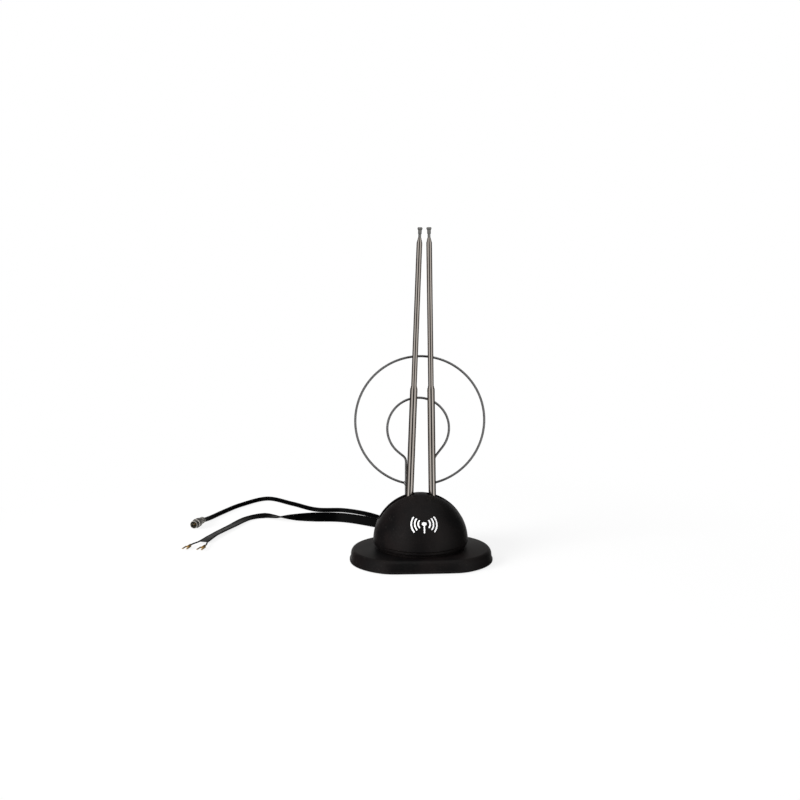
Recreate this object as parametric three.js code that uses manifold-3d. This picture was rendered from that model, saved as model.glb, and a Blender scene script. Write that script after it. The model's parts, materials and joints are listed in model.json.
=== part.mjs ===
// Indoor television antenna: two telescopic rods and two UHF loops on a domed, weighted base.
// Millimetres, +Z up, the front faces -Y. The origin is on the dome's axis, at the table.
import * as THREE from "three";
import { mergeVertices } from "three/addons/utils/BufferGeometryUtils.js";
import Module from "manifold-3d";

const wasm = await Module();
wasm.setup();

// ---------------------------------------------------------------- driving dimensions
const GAP = 0.3; // clearance between fixed neighbours

// base: an oval with its front cut straight
const FOOT_HEIGHT = 0.8;
const BASE = {
  halfWidth: 76,
  halfDepth: 59.7,
  centreY: -8.3,
  power: 2.16, // of the superellipse; 2 would be an ellipse
  frontY: -61.5,
  frontEase: 3,
  top: 13.4,
};
const BASE_WALL = 2.2;
const BASE_LIP = 0.9; // how far the bottom edge stands out
const BASE_STEPS = 40;
const COVER_THICKNESS = 1.6;
const BALLAST = { halfWidth: 52, halfDepth: 36, centreY: -8, top: 8, steps: 48 };
const FOOT = { radius: 6, pocket: 6.3, top: 1.3 };

// dome: a hemisphere on a short neck; the neck's register stands up inside it
const DOME = { radius: 51.4, floor: 19.4, wall: 2.5 };
const NECK = { radius: 50.4, inner: 45.9, foot: 9, top: DOME.floor - GAP, register: 2.8 };
const WAIST = { radius: 48, top: 15.6, slope: 0.9 }; // shadow groove between the neck and the base
const ROUND_STEPS = 36;

// self-tapping screws and the bosses they hold in
const SCREW_RADIUS = 1.45;
const SCREW_HOLE = SCREW_RADIUS + 0.15;
const SCREW_HEAD = 2.9;
const COVER_BOSS_RADIUS = 3.5;
const DOME_BOSS_RADIUS = 4;

// where things are fastened, as [x, y]
const COVER_SCREWS = [[-59, -8], [59, -8], [0, 42]];
const DOME_SCREWS = [[-31, -24], [31, 24]];
const BOARD_SCREWS = [[0, -10], [17, 31]];
const FEET = [[-50, -37], [50, -37], [-46, 25], [46, 25]];

// rods
const PIVOT = { x: 13.5, z: 21 };
const REST_LEAN = { left: 2.1, right: 0.95 }; // degrees past upright, towards the other rod
const LEAN_IN = 2.5; // the slot's room for a lean towards the other rod, in degrees
const LEAN_OUT = 48; // and for a lean away from it
const SLOT_CLEARANCE = 1.2;
const ROD_STEPS = 12;
const HOLE_STEPS = 12;
const TUBE_DIAMETERS = [8, 7, 6, 5, 4];
const TUBE_WALL = 0.3;
const SLIDE_CLEARANCE = 0.05; // radial, at a tube's mouth and at the collar on the next tube's foot
const MOUTH = 2; // length of a crimped mouth
const COLLAR = 2.6; // length of the flared collar at a tube's foot
const TUBE_START = 6.2; // distance from the pivot to the lowest tube's foot
const BORE_FLOOR = 10.8; // distance from the pivot to the feet of the closed inner tubes
const FIRST_MOUTH = 163.6; // distance from the pivot to the lowest tube's mouth
const MOUTH_STEP = 2; // how far each closed tube stands out of the one around it
const EXTENDED_TUBE = 3; // this tube is drawn out to its stop, and the others are closed
const TIP = { diameter: 3, proud: 8.5, pin: 0.7 };
const CAP = { diameter: 5.2, height: 2.3, stem: 3.8, stemLength: 4.5 };

// pivot hardware
const TONGUE = { halfWidth: 4, halfThickness: 1.5 };
const PIVOT_HOLE = 1.75;
const PIVOT_SCREW = { radius: 1.6, tip: 6.4, headRadius: 3.2, headHeight: 1.8, slot: 0.4 };
const WASHER = { outer: 3.1, inner: 1.9, thickness: 1, split: 0.6 };
const NUT = { radius: 3.3, height: 2.4 };
const BRACKET = { halfWidth: 5.5, halfLength: 10, sheet: 1, wallInner: 1.8, rivetY: -6.5 };
const RIVET = { shank: 1.5, head: 2.6 };
const BOARD = { halfWidth: 22, frontY: -15, backY: 37, thickness: 1.6 };

// loops: bent from one gauge of wire, standing behind the rods
const WIRE_RADIUS = 1.25;
const LOOP_Y = 9;
const LEG_X = 15.2;
const LEG_FOOT = 43;
const OUTER_LOOP = { radius: 70, z: 148.2 };
const INNER_LOOP = { radius: 33.5, x: -2, z: 139.9, legTop: 107.3, bend: 4 };
const SOCKET = { halfWidth: 20.5, y: [5.6, 12.4], z: [42, 56], bore: 2.35 };
const POST = { halfWidth: 4, y: [7, 15], footY: [7, 19], footHeight: 3 };
const SLEEVE = { inner: WIRE_RADIUS + 0.2, outer: WIRE_RADIUS + 0.8, z: [40, 56.5] };

// balun: a winding on a bobbin that lies across the back of the board
const BALUN = { y: 29, z: 20.1, core: 3, flange: 4.2, flangeWidth: 2, halfLength: 9, turns: 6 };
const WINDING_RADIUS = 0.4;
const HOOKUP_RADIUS = 0.7;

// cables, and the notch in the dome's back that they leave through
const EXIT = { z: 23, coaxX: 6.5, leadX: -4.5 };
const NOTCH = { left: -12.5, right: 11.5, top: 27.4 };
const GROMMET = { depth: 4.5, stand: 0.4, flange: 1.2, overlap: 2, clearance: 0.4 };
const COAX_RADIUS = 2.9;
const COAX_REST = COAX_RADIUS + 0.2; // height of the coaxial cable's line where it lies on the table
const LEAD = { halfWidth: 6.1, edgeRadius: 0.9 };
const LEAD_ON_EDGE = LEAD.halfWidth + 0.4; // height of the flat lead's line where it stands on edge
const TAIL = { start: -1, end: 16, spread: 3.5 }; // the lead's two wires on their own, past its web
const LUG = { barrel: 1.5, bore: 1.1, fork: 3.4, slot: 1.8, halfThickness: 0.4, end: 16 };
const PLUG = { tail: COAX_RADIUS + 1.4, grip: 5.6, sleeve: 4.8, socket: 4.1, length: 19, pin: 0.55 };

// ---------------------------------------------------------------- derived levels
const boardFloor = BASE.top + GAP;
const boardTop = boardFloor + BOARD.thickness;
const bracketFloor = boardTop + GAP;
const bracketTop = bracketFloor + BRACKET.sheet;
const coverFloor = FOOT_HEIGHT;
const coverTop = coverFloor + COVER_THICKNESS;
const ceiling = BASE.top - BASE_WALL;

// ---------------------------------------------------------------- materials
const finish = (color, roughness, metalness) =>
  new THREE.MeshStandardMaterial({ color, roughness, metalness });

const BLACK_PLASTIC = finish(0x1b1a1b, 0.55, 0);
const DARK_PLASTIC = finish(0x141416, 0.7, 0);
const NICKEL = finish(0x9c9184, 0.28, 1);
const LOOP_STEEL = finish(0x55565a, 0.35, 1);
const STEEL = finish(0xb4b4b0, 0.35, 1);
const BRASS = finish(0xb8934a, 0.35, 1);
const RUBBER = finish(0x151515, 0.9, 0);
const IRON = finish(0x4a4a4c, 0.7, 0.8);
const PHENOLIC = finish(0x6d4526, 0.6, 0);
const FERRITE = finish(0x2b2b2e, 0.6, 0.2);
const COPPER = finish(0xa4592c, 0.3, 1);
const CABLE_BLACK = finish(0x0d0d0e, 0.35, 0);
const RED_WIRE = finish(0x8c1e19, 0.5, 0);
const WHITE_WIRE = finish(0xcfcabb, 0.5, 0);

// ---------------------------------------------------------------- geometry helpers
const rad = THREE.MathUtils.degToRad;

// A closed geometry as a solid, with its faces turned outwards.
function solid(geometry) {
  const bare = geometry.index ? geometry.toNonIndexed() : geometry.clone();
  bare.deleteAttribute("normal");
  bare.deleteAttribute("uv");
  const merged = mergeVertices(bare, 1e-4);
  const triVerts = new Uint32Array(merged.index.array);
  const vertProperties = merged.attributes.position.array;
  const made = new wasm.Manifold(new wasm.Mesh({ numProp: 3, vertProperties, triVerts }));
  if (made.volume() > 0) return made;
  for (let i = 0; i < triVerts.length; i += 3) {
    [triVerts[i + 1], triVerts[i + 2]] = [triVerts[i + 2], triVerts[i + 1]];
  }
  return new wasm.Manifold(new wasm.Mesh({ numProp: 3, vertProperties, triVerts }));
}

// A solid as a flat-shaded geometry.
function geometryOf(body) {
  const mesh = body.getMesh();
  const positions = new Float32Array(mesh.numVert * 3);
  for (let i = 0; i < mesh.numVert; i++) {
    positions.set(mesh.vertProperties.subarray(i * mesh.numProp, i * mesh.numProp + 3), i * 3);
  }
  const indexed = new THREE.BufferGeometry();
  indexed.setAttribute("position", new THREE.BufferAttribute(positions, 3));
  indexed.setIndex(new THREE.BufferAttribute(new Uint32Array(mesh.triVerts), 1));
  const flat = indexed.toNonIndexed();
  flat.computeVertexNormals();
  return flat;
}

// A turned solid about +Z. The profile is [radius, z] pairs; it ends on the axis or closes on itself.
function turned(profile, steps = ROUND_STEPS) {
  const points = profile.map(([r, z]) => new THREE.Vector2(r, z));
  const closes = profile[0][0] > 0 || profile.at(-1)[0] > 0;
  if (closes) points.push(points[0].clone());
  return solid(new THREE.LatheGeometry(points, steps).rotateX(Math.PI / 2));
}

function disc(radius, z0, z1, steps = ROUND_STEPS) {
  return turned([[0, z0], [radius, z0], [radius, z1], [0, z1]], steps);
}

function block(x0, x1, y0, y1, z0, z1) {
  const shape = new THREE.BoxGeometry(x1 - x0, y1 - y0, z1 - z0);
  return solid(shape.translate((x0 + x1) / 2, (y0 + y1) / 2, (z0 + z1) / 2));
}

// A round bar along Y through (x, z).
function barAlongY(x, z, radius, y0, y1, steps = ROD_STEPS) {
  const shape = new THREE.CylinderGeometry(radius, radius, y1 - y0, steps);
  return solid(shape.translate(x, (y0 + y1) / 2, z));
}

// A solid between closed rings that all hold the same number of points, capped at both ends.
function loft(rings) {
  const count = rings[0].length;
  const positions = rings.flat().flatMap((p) => [p.x, p.y, p.z]);
  const index = [];
  for (let r = 0; r < rings.length - 1; r++) {
    for (let i = 0; i < count; i++) {
      const a = r * count + i;
      const b = r * count + ((i + 1) % count);
      index.push(a, b, b + count, a, b + count, a + count);
    }
  }
  for (const end of [0, rings.length - 1]) {
    const outline = rings[end];
    const centre = new THREE.Vector3();
    for (const p of outline) centre.addScaledVector(p, 1 / count);
    const hub = positions.length / 3;
    positions.push(centre.x, centre.y, centre.z);
    for (let i = 0; i < count; i++) {
      const a = end * count + i;
      const b = end * count + ((i + 1) % count);
      if (end === 0) index.push(b, a, hub);
      else index.push(a, b, hub);
    }
  }
  const shape = new THREE.BufferGeometry();
  shape.setAttribute("position", new THREE.Float32BufferAttribute(positions, 3));
  shape.setIndex(index);
  return solid(shape);
}

// A round wire or hose along a path.
function wire(path, radius, steps, sides = 6) {
  const outline = new THREE.Shape().absarc(0, 0, radius, 0, 2 * Math.PI, false);
  return solid(
    new THREE.ExtrudeGeometry(outline, { steps, extrudePath: path, curveSegments: sides / 2 }),
  );
}

const curveThrough = (points) =>
  new THREE.CatmullRomCurve3(points.map(([x, y, z]) => new THREE.Vector3(x, y, z)));

function part(parent, name, body, material) {
  const mesh = new THREE.Mesh(geometryOf(body), material);
  mesh.name = name;
  parent.add(mesh);
}

const sides = [
  { name: "left", sign: -1 },
  { name: "right", sign: 1 },
];

// ---------------------------------------------------------------- base
// The greater of two values, with the corner between them eased over about the given width.
const easedMax = (a, b, width) => (a + b + Math.hypot(a - b, width)) / 2;

// The base's outline at height z, drawn in by inset from the widest line.
function baseOutline(inset, z) {
  const a = BASE.halfWidth - inset;
  const b = BASE.halfDepth - inset;
  const ring = [];
  for (let i = 0; i < BASE_STEPS; i++) {
    const t = (2 * Math.PI * i) / BASE_STEPS;
    const c = Math.cos(t);
    const s = Math.sin(t);
    const x = a * Math.sign(c) * Math.abs(c) ** (2 / BASE.power);
    const y = BASE.centreY + b * Math.sign(s) * Math.abs(s) ** (2 / BASE.power);
    ring.push(new THREE.Vector3(x, easedMax(y, BASE.frontY + inset, BASE.frontEase), z));
  }
  return ring;
}

// The space the two cables leave through, in the back of the dome.
const cableNotch = (grow) =>
  block(NOTCH.left - grow, NOTCH.right + grow, 40, 60, NECK.top, NOTCH.top + grow);

function neckRing() {
  const register = DOME.radius - DOME.wall - 0.5;
  return turned([
    [NECK.inner, NECK.foot],
    [WAIST.radius, NECK.foot],
    [WAIST.radius, WAIST.top],
    [NECK.radius, WAIST.top + WAIST.slope],
    [NECK.radius, NECK.top - 0.5],
    [NECK.radius - 0.6, NECK.top],
    [register, NECK.top],
    [register, NECK.top + NECK.register],
    [NECK.inner, NECK.top + NECK.register],
  ]);
}

function baseShell() {
  let shell = loft([
    baseOutline(-BASE_LIP + 0.4, FOOT_HEIGHT),
    baseOutline(-BASE_LIP, FOOT_HEIGHT + 0.5),
    baseOutline(-BASE_LIP, 2.6),
    baseOutline(0, 3.3),
    baseOutline(0.5, 8.2),
    baseOutline(1.3, 10.8),
    baseOutline(2.7, 12.5),
    baseOutline(5, BASE.top),
  ]);
  const cavity = loft([
    baseOutline(BASE_WALL, -1),
    baseOutline(BASE_WALL + 0.4, 8),
    baseOutline(BASE_WALL + 2.6, ceiling),
  ]);
  shell = shell.subtract(cavity).add(neckRing()).subtract(cableNotch(0));
  for (const [x, y] of COVER_SCREWS) {
    shell = shell
      .add(disc(COVER_BOSS_RADIUS, coverTop + GAP, ceiling + 1, 20).translate([x, y, 0]))
      .subtract(disc(SCREW_HOLE, 0, ceiling - 0.5, HOLE_STEPS).translate([x, y, 0]));
  }
  for (const [x, y] of [...DOME_SCREWS, ...BOARD_SCREWS]) {
    shell = shell.subtract(disc(SCREW_HOLE + 0.1, 0, 20, HOLE_STEPS).translate([x, y, 0]));
  }
  return shell;
}

function bottomCover() {
  let cover = loft([
    baseOutline(BASE_WALL + GAP, coverFloor),
    baseOutline(BASE_WALL + GAP, coverTop),
  ]);
  for (const [x, y] of FEET) {
    cover = cover.subtract(disc(FOOT.pocket, 0, FOOT.top + GAP, 28).translate([x, y, 0]));
  }
  for (const [x, y] of COVER_SCREWS) {
    const seat = turned([[0, 0], [3.4, 0], [3.4, 1], [SCREW_HOLE + 0.2, 2.6], [0, 2.6]], 20);
    cover = cover.subtract(seat.translate([x, y, 0]));
  }
  return cover;
}

// A countersunk screw driven upwards from the underside.
function coverScrew() {
  return turned([[0, 0.9], [2.8, 0.9], [SCREW_RADIUS, 2.25], [SCREW_RADIUS, 9.5], [0, 9.5]], HOLE_STEPS);
}

// A pan-head screw standing on its tip; head is the height of the head's seat.
function panScrew(head, tip) {
  const up = Math.sign(head - tip);
  const profile = [
    [0, tip],
    [SCREW_RADIUS, tip],
    [SCREW_RADIUS, head],
    [SCREW_HEAD, head],
    [SCREW_HEAD - 0.3, head + 1.5 * up],
    [SCREW_HEAD / 2, head + 1.9 * up],
    [0, head + 1.9 * up],
  ];
  return turned(profile, HOLE_STEPS);
}

// An oval iron plate with eased edges.
function ballastPlate() {
  const { halfWidth, halfDepth, centreY, top, steps } = BALLAST;
  const ring = (inset, z) => {
    const round = [];
    for (let i = 0; i < steps; i++) {
      const t = (2 * Math.PI * i) / steps;
      const y = centreY + (halfDepth - inset) * Math.sin(t);
      round.push(new THREE.Vector3((halfWidth - inset) * Math.cos(t), y, z));
    }
    return round;
  };
  return loft([ring(1, coverTop + GAP), ring(0, coverTop + GAP + 1), ring(0, top - 1), ring(1, top)]);
}

function rubberFoot() {
  const { radius, top } = FOOT;
  return turned([[0, 0], [radius - 0.4, 0], [radius, 0.4], [radius, top], [0, top]], 24);
}

function buildBase(root) {
  part(root, "base_shell", baseShell(), BLACK_PLASTIC);
  part(root, "bottom_cover", bottomCover(), DARK_PLASTIC);
  part(root, "ballast_plate", ballastPlate(), IRON);
  COVER_SCREWS.forEach(([x, y], i) => {
    part(root, `cover_screw_${i + 1}`, coverScrew().translate([x, y, 0]), STEEL);
  });
  FEET.forEach(([x, y], i) => {
    part(root, `rubber_foot_${i + 1}`, rubberFoot().translate([x, y, 0]), RUBBER);
  });
}

// ---------------------------------------------------------------- dome
// The space one rod sweeps through the dome, between its furthest leans.
function rodSlot(sign) {
  const reach = 2 * DOME.radius;
  const half = TUBE_DIAMETERS[0] / 2 + SLOT_CLEARANCE;
  const inner = rad(-LEAN_IN);
  const outer = rad(LEAN_OUT);
  const bar = (lean) => {
    const round = new THREE.CylinderGeometry(half, half, reach, ROD_STEPS);
    return solid(round.translate(0, reach / 2, 0).rotateX(Math.PI / 2).rotateY(lean));
  };
  const from = Math.PI / 2 - outer;
  const fan = new THREE.Shape();
  fan.moveTo(0, 0);
  fan.lineTo(reach * Math.cos(from), reach * Math.sin(from));
  fan.absarc(0, 0, reach, from, Math.PI / 2 - inner, false);
  const wedge = new THREE.ExtrudeGeometry(fan, {
    depth: 2 * half,
    bevelEnabled: false,
    curveSegments: 6,
  });
  wedge.rotateX(Math.PI / 2).translate(0, half, 0);
  const swept = solid(wedge).add(bar(inner)).add(bar(outer));
  const placed = swept.translate([PIVOT.x, 0, PIVOT.z]);
  return sign > 0 ? placed : placed.mirror([1, 0, 0]);
}

function hemisphere(radius, steps) {
  const profile = [[0, DOME.floor]];
  const arcSteps = 8;
  for (let i = 0; i <= arcSteps; i++) {
    const t = (Math.PI / 2) * (i / arcSteps);
    const r = i === arcSteps ? 0 : radius * Math.cos(t);
    profile.push([r, DOME.floor + radius * Math.sin(t)]);
  }
  return turned(profile, steps);
}

function domeShell() {
  const outer = hemisphere(DOME.radius, ROUND_STEPS);
  const hollow = hemisphere(DOME.radius - DOME.wall, ROUND_STEPS);
  const hollowFoot = disc(DOME.radius - DOME.wall, DOME.floor - 1, DOME.floor + 0.01);
  let shell = outer.subtract(hollow.add(hollowFoot));
  const lid = hemisphere(DOME.radius - 1, ROUND_STEPS).add(disc(DOME.radius - 1, 0, DOME.floor + 0.01));
  for (const [x, y] of DOME_SCREWS) {
    const boss = disc(DOME_BOSS_RADIUS, boardFloor, 60, 20).translate([x, y, 0]).intersect(lid);
    shell = shell.add(boss);
    shell = shell.subtract(disc(SCREW_HOLE, 0, 30, HOLE_STEPS).translate([x, y, 0]));
  }
  for (const { sign } of sides) {
    shell = shell.subtract(rodSlot(sign));
    const legHole = disc(WIRE_RADIUS + 0.5, 50, 80, HOLE_STEPS);
    shell = shell.subtract(legHole.translate([sign * LEG_X, LOOP_Y, 0]));
  }
  return shell.subtract(cableNotch(GAP));
}

// A rubber plug that fills the notch, with a flange outside and a hole for each cable.
function cableGrommet() {
  const floor = NECK.top + GAP;
  const outside = DOME.radius + GROMMET.stand;
  const face = outside + GROMMET.flange;
  const band = (r0, r1) => turned([[r0, floor], [r1, floor], [r1, 40], [r0, 40]]);
  const plugBox = block(NOTCH.left, NOTCH.right, 30, 60, floor, NOTCH.top);
  const { left, right, top } = NOTCH;
  const { overlap, clearance } = GROMMET;
  const flangeBox = block(left - overlap, right + overlap, 30, 60, floor, top + overlap);
  const plug = band(DOME.radius - GROMMET.depth, face).intersect(plugBox);
  const flange = band(outside, face).intersect(flangeBox);
  const coaxHole = barAlongY(EXIT.coaxX, EXIT.z, COAX_RADIUS + clearance, 30, 60, 20);
  const halfWidth = LEAD.halfWidth + clearance;
  const halfHeight = LEAD.edgeRadius + clearance;
  const { leadX, z } = EXIT;
  const leadHole = block(leadX - halfWidth, leadX + halfWidth, 30, 60, z - halfHeight, z + halfHeight);
  return plug.add(flange).subtract(coaxHole).subtract(leadHole);
}

function buildDome(root) {
  part(root, "dome_shell", domeShell(), BLACK_PLASTIC);
  part(root, "cable_grommet", cableGrommet(), RUBBER);
  DOME_SCREWS.forEach(([x, y], i) => {
    const screw = panScrew(ceiling - GAP, 28).translate([x, y, 0]);
    part(root, `dome_screw_${i + 1}`, screw, STEEL);
  });
}

// ---------------------------------------------------------------- terminal board and pivots
function terminalBoard() {
  const { halfWidth, frontY, backY } = BOARD;
  let board = block(-halfWidth, halfWidth, frontY, backY, boardFloor, boardTop);
  const rivets = sides.map(({ sign }) => [sign * PIVOT.x, BRACKET.rivetY]);
  const holes = [...BOARD_SCREWS, ...rivets];
  for (const [x, y] of holes) {
    board = board.subtract(disc(SCREW_HOLE + 0.2, 0, 30, HOLE_STEPS).translate([x, y, 0]));
  }
  return board;
}

// A folded sheet clevis; its two ears hold the pivot screw.
function rodBracket(x) {
  const { halfWidth, halfLength, sheet, wallInner, rivetY } = BRACKET;
  let bracket = block(x - halfWidth, x + halfWidth, -halfLength, halfLength, bracketFloor, bracketTop);
  for (const y of [-wallInner - sheet, wallInner]) {
    bracket = bracket
      .add(block(x - halfWidth, x + halfWidth, y, y + sheet, bracketFloor, PIVOT.z))
      .add(barAlongY(x, PIVOT.z, halfWidth, y, y + sheet));
  }
  return bracket
    .subtract(barAlongY(x, PIVOT.z, PIVOT_HOLE + 0.1, -12, 12))
    .subtract(disc(SCREW_HOLE + 0.2, 0, 30, HOLE_STEPS).translate([x, rivetY, 0]));
}

const washerFace = -BRACKET.wallInner - BRACKET.sheet - GAP;

function pivotScrew(x) {
  const { radius, tip, headRadius, headHeight, slot } = PIVOT_SCREW;
  const seat = washerFace - WASHER.thickness - GAP;
  const end = seat - headHeight;
  return barAlongY(x, PIVOT.z, radius, seat, tip)
    .add(barAlongY(x, PIVOT.z, headRadius, end, seat))
    .subtract(block(x - 4, x + 4, end - 1, end + 0.8, PIVOT.z - slot, PIVOT.z + slot));
}

function springWasher(x) {
  const { outer, inner, thickness, split } = WASHER;
  return barAlongY(x, PIVOT.z, outer, washerFace - thickness, washerFace)
    .subtract(barAlongY(x, PIVOT.z, inner, -12, 12))
    .subtract(block(x, x + split, -12, 12, PIVOT.z, PIVOT.z + outer + 1));
}

function pivotNut(x) {
  const face = BRACKET.wallInner + BRACKET.sheet + GAP;
  const hex = barAlongY(x, PIVOT.z, NUT.radius, face, face + NUT.height, 6);
  return hex.subtract(barAlongY(x, PIVOT.z, PIVOT_HOLE, -12, 12));
}

// It holds the bracket to the board; its head stays clear of the pivot screw above.
function bracketRivet(x) {
  const foot = boardFloor + 0.2;
  const seat = bracketTop + GAP;
  const profile = [
    [0, foot],
    [RIVET.shank, foot],
    [RIVET.shank, seat],
    [RIVET.head, seat],
    [RIVET.head - 0.8, seat + 0.5],
    [0, seat + 0.6],
  ];
  return turned(profile, HOLE_STEPS).translate([x, BRACKET.rivetY, 0]);
}

function buildPivots(root) {
  part(root, "terminal_board", terminalBoard(), PHENOLIC);
  ["front", "back"].forEach((name, i) => {
    const [x, y] = BOARD_SCREWS[i];
    part(root, `board_screw_${name}`, panScrew(boardTop + GAP, 9).translate([x, y, 0]), STEEL);
  });
  for (const { name, sign } of sides) {
    const x = sign * PIVOT.x;
    part(root, `rod_bracket_${name}`, rodBracket(x), STEEL);
    part(root, `bracket_rivet_${name}`, bracketRivet(x), BRASS);
    part(root, `pivot_screw_${name}`, pivotScrew(x), STEEL);
    part(root, `spring_washer_${name}`, springWasher(x), STEEL);
    part(root, `pivot_nut_${name}`, pivotNut(x), STEEL);
  }
}

// ---------------------------------------------------------------- telescopic rods
// In a rod's own frame +Z runs up the rod from the pivot.
function rodEye() {
  const { halfWidth, halfThickness } = TONGUE;
  const bore = TUBE_DIAMETERS[0] / 2 - TUBE_WALL - 0.1;
  const neck = halfWidth - 0.6;
  return barAlongY(0, 0, halfWidth, -halfThickness, halfThickness)
    .add(block(-neck, neck, -halfThickness, halfThickness, 0, TUBE_START + 0.5))
    .intersect(block(-5, 5, -5, 5, -5, TUBE_START - GAP).add(disc(bore, 0, 20, ROD_STEPS)))
    .add(disc(bore, TUBE_START + GAP, BORE_FLOOR - GAP, ROD_STEPS))
    .subtract(barAlongY(0, 0, PIVOT_HOLE, -5, 5));
}

const tubeMouth = (number) => FIRST_MOUTH + MOUTH_STEP * (number - 1);
const drawnOut = (number) => {
  if (number < EXTENDED_TUBE) return 0;
  const hold = MOUTH + COLLAR + 0.2;
  return tubeMouth(EXTENDED_TUBE - 1) - hold - BORE_FLOOR;
};

// Tube 1 is the widest. Its foot is plain; every other foot has a collar that stops at the mouth above.
function tube(number) {
  const outer = TUBE_DIAMETERS[number - 1] / 2;
  const bore = outer - TUBE_WALL;
  const mouthBore = outer - 0.5 + SLIDE_CLEARANCE;
  const foot = number === 1 ? TUBE_START : BORE_FLOOR;
  const mouth = tubeMouth(number);
  const collar = outer + 0.2 - SLIDE_CLEARANCE;
  const footProfile =
    number === 1
      ? [[bore, foot], [outer, foot]]
      : [
          [bore, foot],
          [collar - 0.1, foot],
          [collar, foot + 0.3],
          [collar, foot + COLLAR - 0.4],
          [outer, foot + COLLAR],
        ];
  const profile = [
    ...footProfile,
    [outer, mouth - MOUTH],
    [mouthBore + TUBE_WALL, mouth - 0.3],
    [mouthBore + TUBE_WALL - 0.1, mouth],
    [mouthBore, mouth],
    [mouthBore, mouth - MOUTH + 0.5],
    [bore, mouth - MOUTH],
  ];
  return turned(profile, ROD_STEPS).translate([0, 0, drawnOut(number)]);
}

const tipTop = () => tubeMouth(TUBE_DIAMETERS.length) + TIP.proud;

function tipRod() {
  const r = TIP.diameter / 2;
  const collar = r + 0.2 - SLIDE_CLEARANCE;
  const shoulder = tipTop() - CAP.stemLength - GAP;
  const profile = [
    [0, BORE_FLOOR],
    [collar - 0.2, BORE_FLOOR],
    [collar, BORE_FLOOR + 0.3],
    [collar, BORE_FLOOR + COLLAR - 0.4],
    [r, BORE_FLOOR + COLLAR],
    [r, shoulder],
    [TIP.pin, shoulder],
    [TIP.pin, tipTop() + 1.2],
    [0, tipTop() + 1.2],
  ];
  return turned(profile, ROD_STEPS).translate([0, 0, drawnOut(TUBE_DIAMETERS.length + 1)]);
}

// A turned button on a short stem, pressed on the thin end of the tip rod.
function tipCap() {
  const r = CAP.diameter / 2;
  const stem = CAP.stem / 2;
  const z = tipTop();
  const foot = z - CAP.stemLength;
  const top = z + CAP.height;
  const bore = TIP.pin + GAP;
  const profile = [
    [bore, foot],
    [stem, foot],
    [stem, z],
    [r - 0.3, z],
    [r, z + 0.4],
    [r, top - 0.8],
    [r - 0.6, top - 0.2],
    [0, top],
    [0, z + 1.2 + GAP],
    [bore, z + 1.2 + GAP],
  ];
  return turned(profile, ROD_STEPS).translate([0, 0, drawnOut(TUBE_DIAMETERS.length + 1)]);
}

function buildRods(root) {
  for (const { name, sign } of sides) {
    const rod = new THREE.Group();
    rod.position.set(sign * PIVOT.x, 0, PIVOT.z);
    rod.rotation.y = rad(-sign * REST_LEAN[name]);
    root.add(rod);
    part(rod, `rod_eye_${name}`, rodEye(), STEEL);
    TUBE_DIAMETERS.forEach((_, i) => {
      part(rod, `rod_tube_${i + 1}_${name}`, tube(i + 1), NICKEL);
    });
    part(rod, `tip_rod_${name}`, tipRod(), NICKEL);
    part(rod, `tip_cap_${name}`, tipCap(), NICKEL);
  }
}

// ---------------------------------------------------------------- loops
// An arc in the plane y = LOOP_Y that starts and ends at an angle either side of straight down.
class LoopCurve extends THREE.Curve {
  constructor(x, z, radius, halfOpening, centreTurn) {
    super();
    Object.assign(this, { x, z, radius, halfOpening, centreTurn });
  }

  getPoint(t, target = new THREE.Vector3()) {
    const down = -Math.PI / 2 + this.centreTurn;
    const turn = down - this.halfOpening - t * (2 * Math.PI - 2 * this.halfOpening);
    const x = this.x + this.radius * Math.cos(turn);
    const z = this.z + this.radius * Math.sin(turn);
    return target.set(x, LOOP_Y, z);
  }
}

// The outer loop stops just short of the legs it is soldered to.
function outerLoop() {
  const reach = LEG_X + WIRE_RADIUS + 0.05;
  const opening = Math.asin(reach / OUTER_LOOP.radius);
  const arc = new LoopCurve(0, OUTER_LOOP.z, OUTER_LOOP.radius, opening, 0);
  let ring = wire(arc, WIRE_RADIUS, 60);
  for (const { sign } of sides) {
    const leg = disc(WIRE_RADIUS + 0.05, LEG_FOOT, INNER_LOOP.legTop, 12);
    ring = ring.subtract(leg.translate([sign * LEG_X, LOOP_Y, 0]));
  }
  return ring;
}

// The inner loop leaves its circle along two tangents and runs down as two legs into the dome.
function innerLoop() {
  const { radius, x, z, legTop, bend } = INNER_LOOP;
  const at = (px, pz) => new THREE.Vector3(px, LOOP_Y, pz);
  const [left, right] = sides.map(({ sign }) => {
    const knee = at(sign * LEG_X, legTop);
    const outward = Math.atan2(knee.z - z, knee.x - x);
    const touch = outward + sign * Math.acos(radius / Math.hypot(knee.x - x, knee.z - z));
    const tangent = at(x + radius * Math.cos(touch), z + radius * Math.sin(touch));
    const slope = tangent.clone().sub(knee).setLength(bend);
    return {
      foot: at(knee.x, LEG_FOOT),
      below: at(knee.x, legTop - bend),
      knee,
      above: knee.clone().add(slope),
      tangent,
      fromDown: Math.abs(touch + Math.PI / 2),
    };
  });
  const path = new THREE.CurvePath();
  path.add(new THREE.LineCurve3(left.foot, left.below));
  path.add(new THREE.QuadraticBezierCurve3(left.below, left.knee, left.above));
  path.add(new THREE.LineCurve3(left.above, left.tangent));
  const opening = (left.fromDown + right.fromDown) / 2;
  const centreTurn = (right.fromDown - left.fromDown) / 2;
  path.add(new LoopCurve(x, z, radius, opening, centreTurn));
  path.add(new THREE.LineCurve3(right.tangent, right.above));
  path.add(new THREE.QuadraticBezierCurve3(right.above, right.knee, right.below));
  path.add(new THREE.LineCurve3(right.below, right.foot));
  return wire(path, WIRE_RADIUS, 88);
}

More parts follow.
